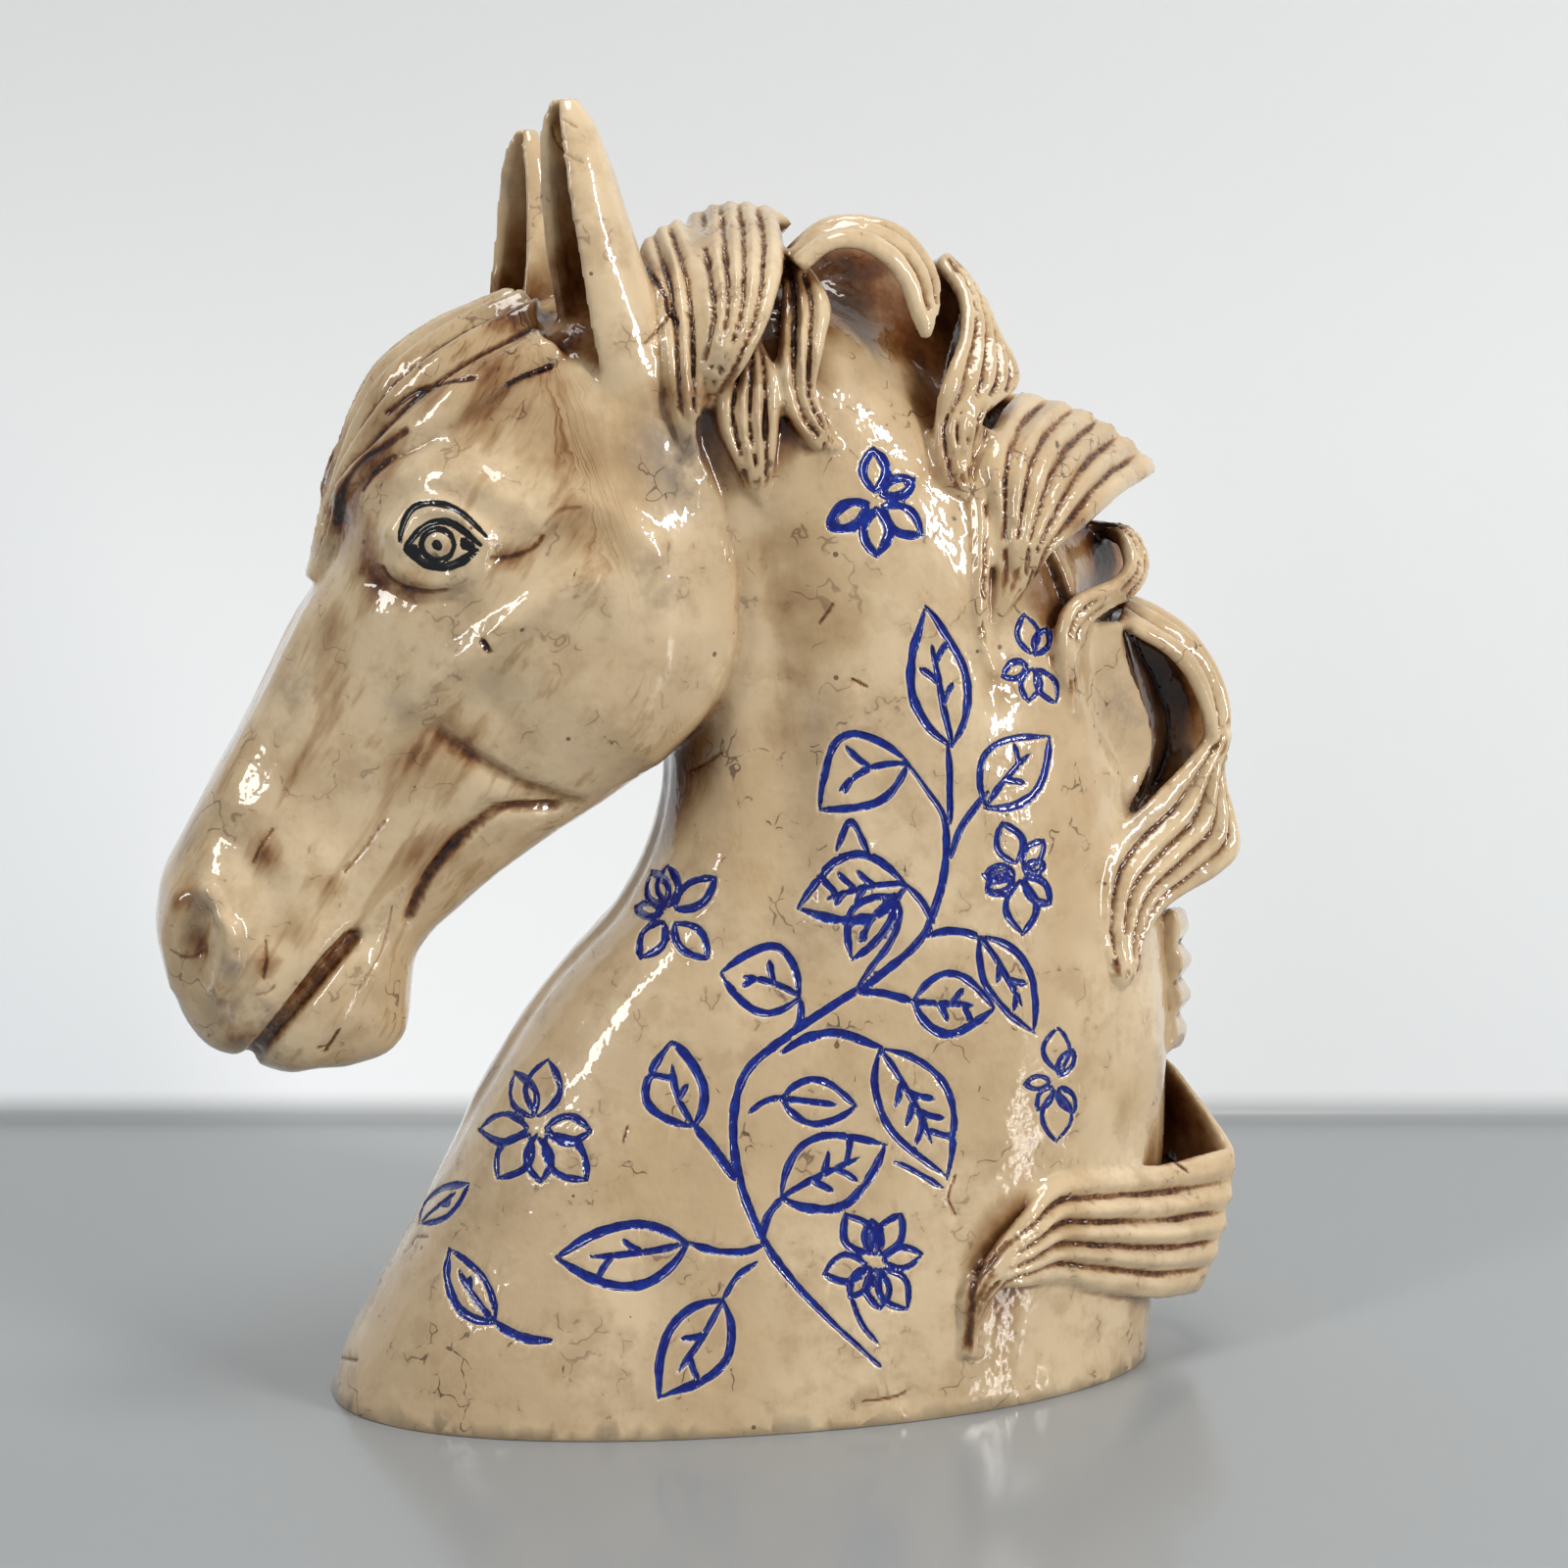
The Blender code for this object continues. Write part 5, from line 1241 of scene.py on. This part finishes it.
def glaze():
    """Cream glaze over clay, with brown wash in the hollows, partly painted shade in sheltered places and on
    the neck behind the cheek, blue in the vine and black round the eyes.
    """
    g = Graph("stoneware_glaze")
    place = g.node("ShaderNodeTexCoord").outputs["Object"]
    face = g.attribute("face")

    def along(across, length, detail, rough):
        """A noise drawn out along the face and along the neck."""
        scale = (across, across, length)
        drawn = g.node("ShaderNodeMix", data_type="VECTOR")
        for socket, value in ((drawn.inputs[0], face), (drawn.inputs[4], g.stretched(place, scale, 0.25)),
                              (drawn.inputs[5], g.stretched(place, scale, -0.53))):
            g.feed(socket, value)
        return g.noise(drawn.outputs[1], 1.0, detail, rough)

    fine = g.noise(place, 420.0, 2.0, 0.6)
    clouds = g.noise(place, 18.0, 3.0, 0.6)
    mottle = g.noise(place, 95.0, 4.0, 0.62)
    streak = along(190.0, 26.0, 3.0, 0.6)
    fibres = along(760.0, 90.0, 2.0, 0.65)

    cream = g.mix(g.step(0.35, 0.65, clouds), *(linear(*c) for c in CREAMS))
    cream = g.mix(g.times(g.step(0.42, 0.68, mottle), 0.50), cream, linear(*MOTTLE))

    stains = g.step(0.56, 0.36, clouds)
    film = g.times(g.step(0.50, 0.74, streak), g.add(g.times(face, 0.15), 0.01))
    film = g.add(film, g.times(stains, g.add(g.times(face, 0.10), 0.04)))
    film = g.add(film, g.times(g.times(g.step(0.52, 0.68, fibres), stains), g.add(g.times(face, 0.17), 0.04)))
    # Brown where the clay is sheltered: partly the wash, partly painted shade where little light reaches.
    sheltered_wash_and_shade = g.times(g.step(0.08, 0.50, g.attribute("shelter")), g.add(g.times(mottle, 0.66), 0.04))
    drawn_out = g.times(g.times(g.step(0.35, 0.65, streak), face), 0.45)
    # The brown smudges: wash, and painted shade on the neck behind the cheek.
    smudge_and_shade = g.times(g.attribute("smudge_and_shade"), g.add(drawn_out, g.times(mottle, 0.80)))
    wash_and_shade = g.times(g.attribute("wash_and_shade"), g.add(0.62, g.times(g.step(0.25, 0.7, fine), 0.50)))
    brown = g.add(g.add(film, sheltered_wash_and_shade), g.add(g.times(smudge_and_shade, 1.25), wash_and_shade), clamp=True)
    base = g.ramp(brown, [(at, linear(*c)) for at, c in WASH])
    colour = g.mix(g.step(0.0, 0.14, brown), cream, base)
    colour = g.mix(g.times(g.attribute("grey"), g.step(0.35, 0.60, mottle)), colour, linear(*GREY_GLAZE))

    scratches = g.times(g.step(0.70, 0.76, fibres), g.times(g.step(0.50, 0.62, mottle), 0.8))
    specks = g.dots(place, 170.0, 0.14, 0.12)
    cracked = g.cracks(place, 70.0, 0.026, 0.012, mottle)
    cracked = g.times(cracked, g.add(g.times(stains, 0.45), 0.35))
    flaws = g.add(g.add(scratches, cracked), g.times(specks, 0.75), clamp=True)
    colour = g.mix(flaws, colour, linear(*FLAW))

    wobble = g.add(fine, -0.5)
    vine = g.add(g.attribute("vine"), g.times(wobble, 0.30))
    rim = g.times(g.step(0.60, 0.15, vine), 0.35)
    colour = g.mix(rim, colour, linear(*BURR_CREAM))
    depth = g.step(0.05, -0.45, vine)
    cobalt = g.mix(g.times(g.step(0.40, 0.65, fine), 0.45), *(linear(*c) for c in COBALTS))
    cobalt = g.mix(depth, linear(*COBALT_EDGE), cobalt)
    colour = g.mix(g.step(0.10, -0.08, vine), colour, cobalt)
    ink = g.add(g.attribute("ink"), g.times(wobble, 0.25))
    colour = g.mix(g.step(0.12, -0.06, ink), colour, linear(*BLACK))
    g.feed(g.shader.inputs["Base Color"], colour)

    g.feed(g.shader.inputs["Roughness"], g.add(0.24, g.times(brown, 0.15)))
    g.shader.inputs["Specular IOR Level"].default_value = 0.12
    g.shader.inputs["Coat Weight"].default_value = 0.95
    g.shader.inputs["Coat Roughness"].default_value = 0.025
    g.shader.inputs["Coat IOR"].default_value = 1.5

    height = g.times(g.noise(place, 135.0, 2.0), 0.30)
    height = g.add(height, g.times(g.noise(place, 400.0, 1.0, 0.6), 0.10))
    height = g.add(height, g.step(-0.45, 0.25, g.attribute("vine"), (-0.20, 0.0)))
    bump = g.node("ShaderNodeBump", {"Strength": 1.0, "Distance": 0.001, "Height": height})
    for socket in ("Normal", "Coat Normal"):
        g.feed(g.shader.inputs[socket], bump.outputs[0])
    return g.material


def stage():
    """A pale floor that sweeps up into a paler wall, square to the camera; the wall glows as painted light,
    most at its foot and on its left.
    """
    run = [(FLOOR_FRONT, 0.0), (WALL_DISTANCE - SWEEP, 0.0)]
    for k in range(1, SWEEP_STEPS + 1):
        a = math.pi / 2 * k / SWEEP_STEPS
        run.append((WALL_DISTANCE - SWEEP + SWEEP * math.sin(a), SWEEP - SWEEP * math.cos(a)))
    run.append((WALL_DISTANCE, WALL_TOP))
    points = [(x, y, z - FLOOR_SINK) for y, z in run for x in (-FLOOR_SIDE, FLOOR_SIDE)]
    faces = [(2 * i, 2 * i + 1, 2 * i + 3, 2 * i + 2) for i in range(len(run) - 1)]
    mesh = bpy.data.meshes.new("studio_floor")
    mesh.from_pydata(points, [], faces)
    mesh.shade_smooth()
    floor = bpy.data.objects.new("studio_floor", mesh)
    floor.rotation_euler = (0, 0, math.radians(CAMERA_AZIMUTH))
    bpy.context.scene.collection.objects.link(floor)
    g = Graph("studio_paint")
    place = g.node("ShaderNodeTexCoord").outputs["Object"]
    aside, _, height = g.node("ShaderNodeSeparateXYZ", {"Vector": place}).outputs
    paint = g.mix(g.step(0.0, SWEEP * 1.2, height), linear(*FLOOR_COLOUR), linear(*WALL_COLOUR))
    g.feed(g.shader.inputs["Base Color"], paint)
    g.feed(g.shader.inputs["Roughness"], g.step(0.0, SWEEP, height, (0.20, 0.9)))
    # Painted light: the wall glows, most at its foot and on its left.
    painted_glow = g.times(g.step(0.0, WALL_PAINTED_GLOW_TOP, height, (1.0, 0.0)), g.step(-0.3, 0.3, aside, WALL_PAINTED_GLOW))
    g.shader.inputs["Emission Color"].default_value = WORLD_COLOUR
    g.feed(g.shader.inputs["Emission Strength"], g.times(g.step(0.0, SWEEP * 1.2, height), painted_glow))
    floor.data.materials.append(g.material)
    floor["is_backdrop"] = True


def light(name, place, aim, size, power, colour):
    lamp = bpy.data.lights.new(name, "AREA")
    lamp.shape = "RECTANGLE"
    lamp.size, lamp.size_y = size
    lamp.energy = power
    lamp.color = colour
    obj = bpy.data.objects.new(name, lamp)
    obj.location = place
    obj.rotation_euler = (Vector(aim) - Vector(place)).to_track_quat("-Z", "Y").to_euler()
    bpy.context.scene.collection.objects.link(obj)


def studio():
    world = bpy.data.worlds.new("studio")
    world.use_nodes = True
    backdrop = world.node_tree.nodes["Background"]
    backdrop.inputs["Color"].default_value = WORLD_COLOUR
    backdrop.inputs["Strength"].default_value = WORLD_STRENGTH
    bpy.context.scene.world = world
    for lamp in LAMPS:
        light(*lamp)
    lens = bpy.data.cameras.new("camera")
    lens.lens, lens.sensor_width = LENS, SENSOR
    camera = bpy.data.objects.new("camera", lens)
    camera.location = CAMERA_PLACE
    camera.rotation_euler = (math.radians(90 - CAMERA_ELEVATION), 0, math.radians(CAMERA_AZIMUTH))
    bpy.context.scene.collection.objects.link(camera)
    bpy.context.scene.camera = camera
    bpy.context.scene.view_settings.view_transform = "Standard"


def main():
    stage()
    studio()
    bust = make_bust()
    bust.data.materials.append(glaze())
    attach(bust, "root")
    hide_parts("horse_bust")
    [[list(corner) for corner in box] for box in (cad_box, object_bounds())]


main()
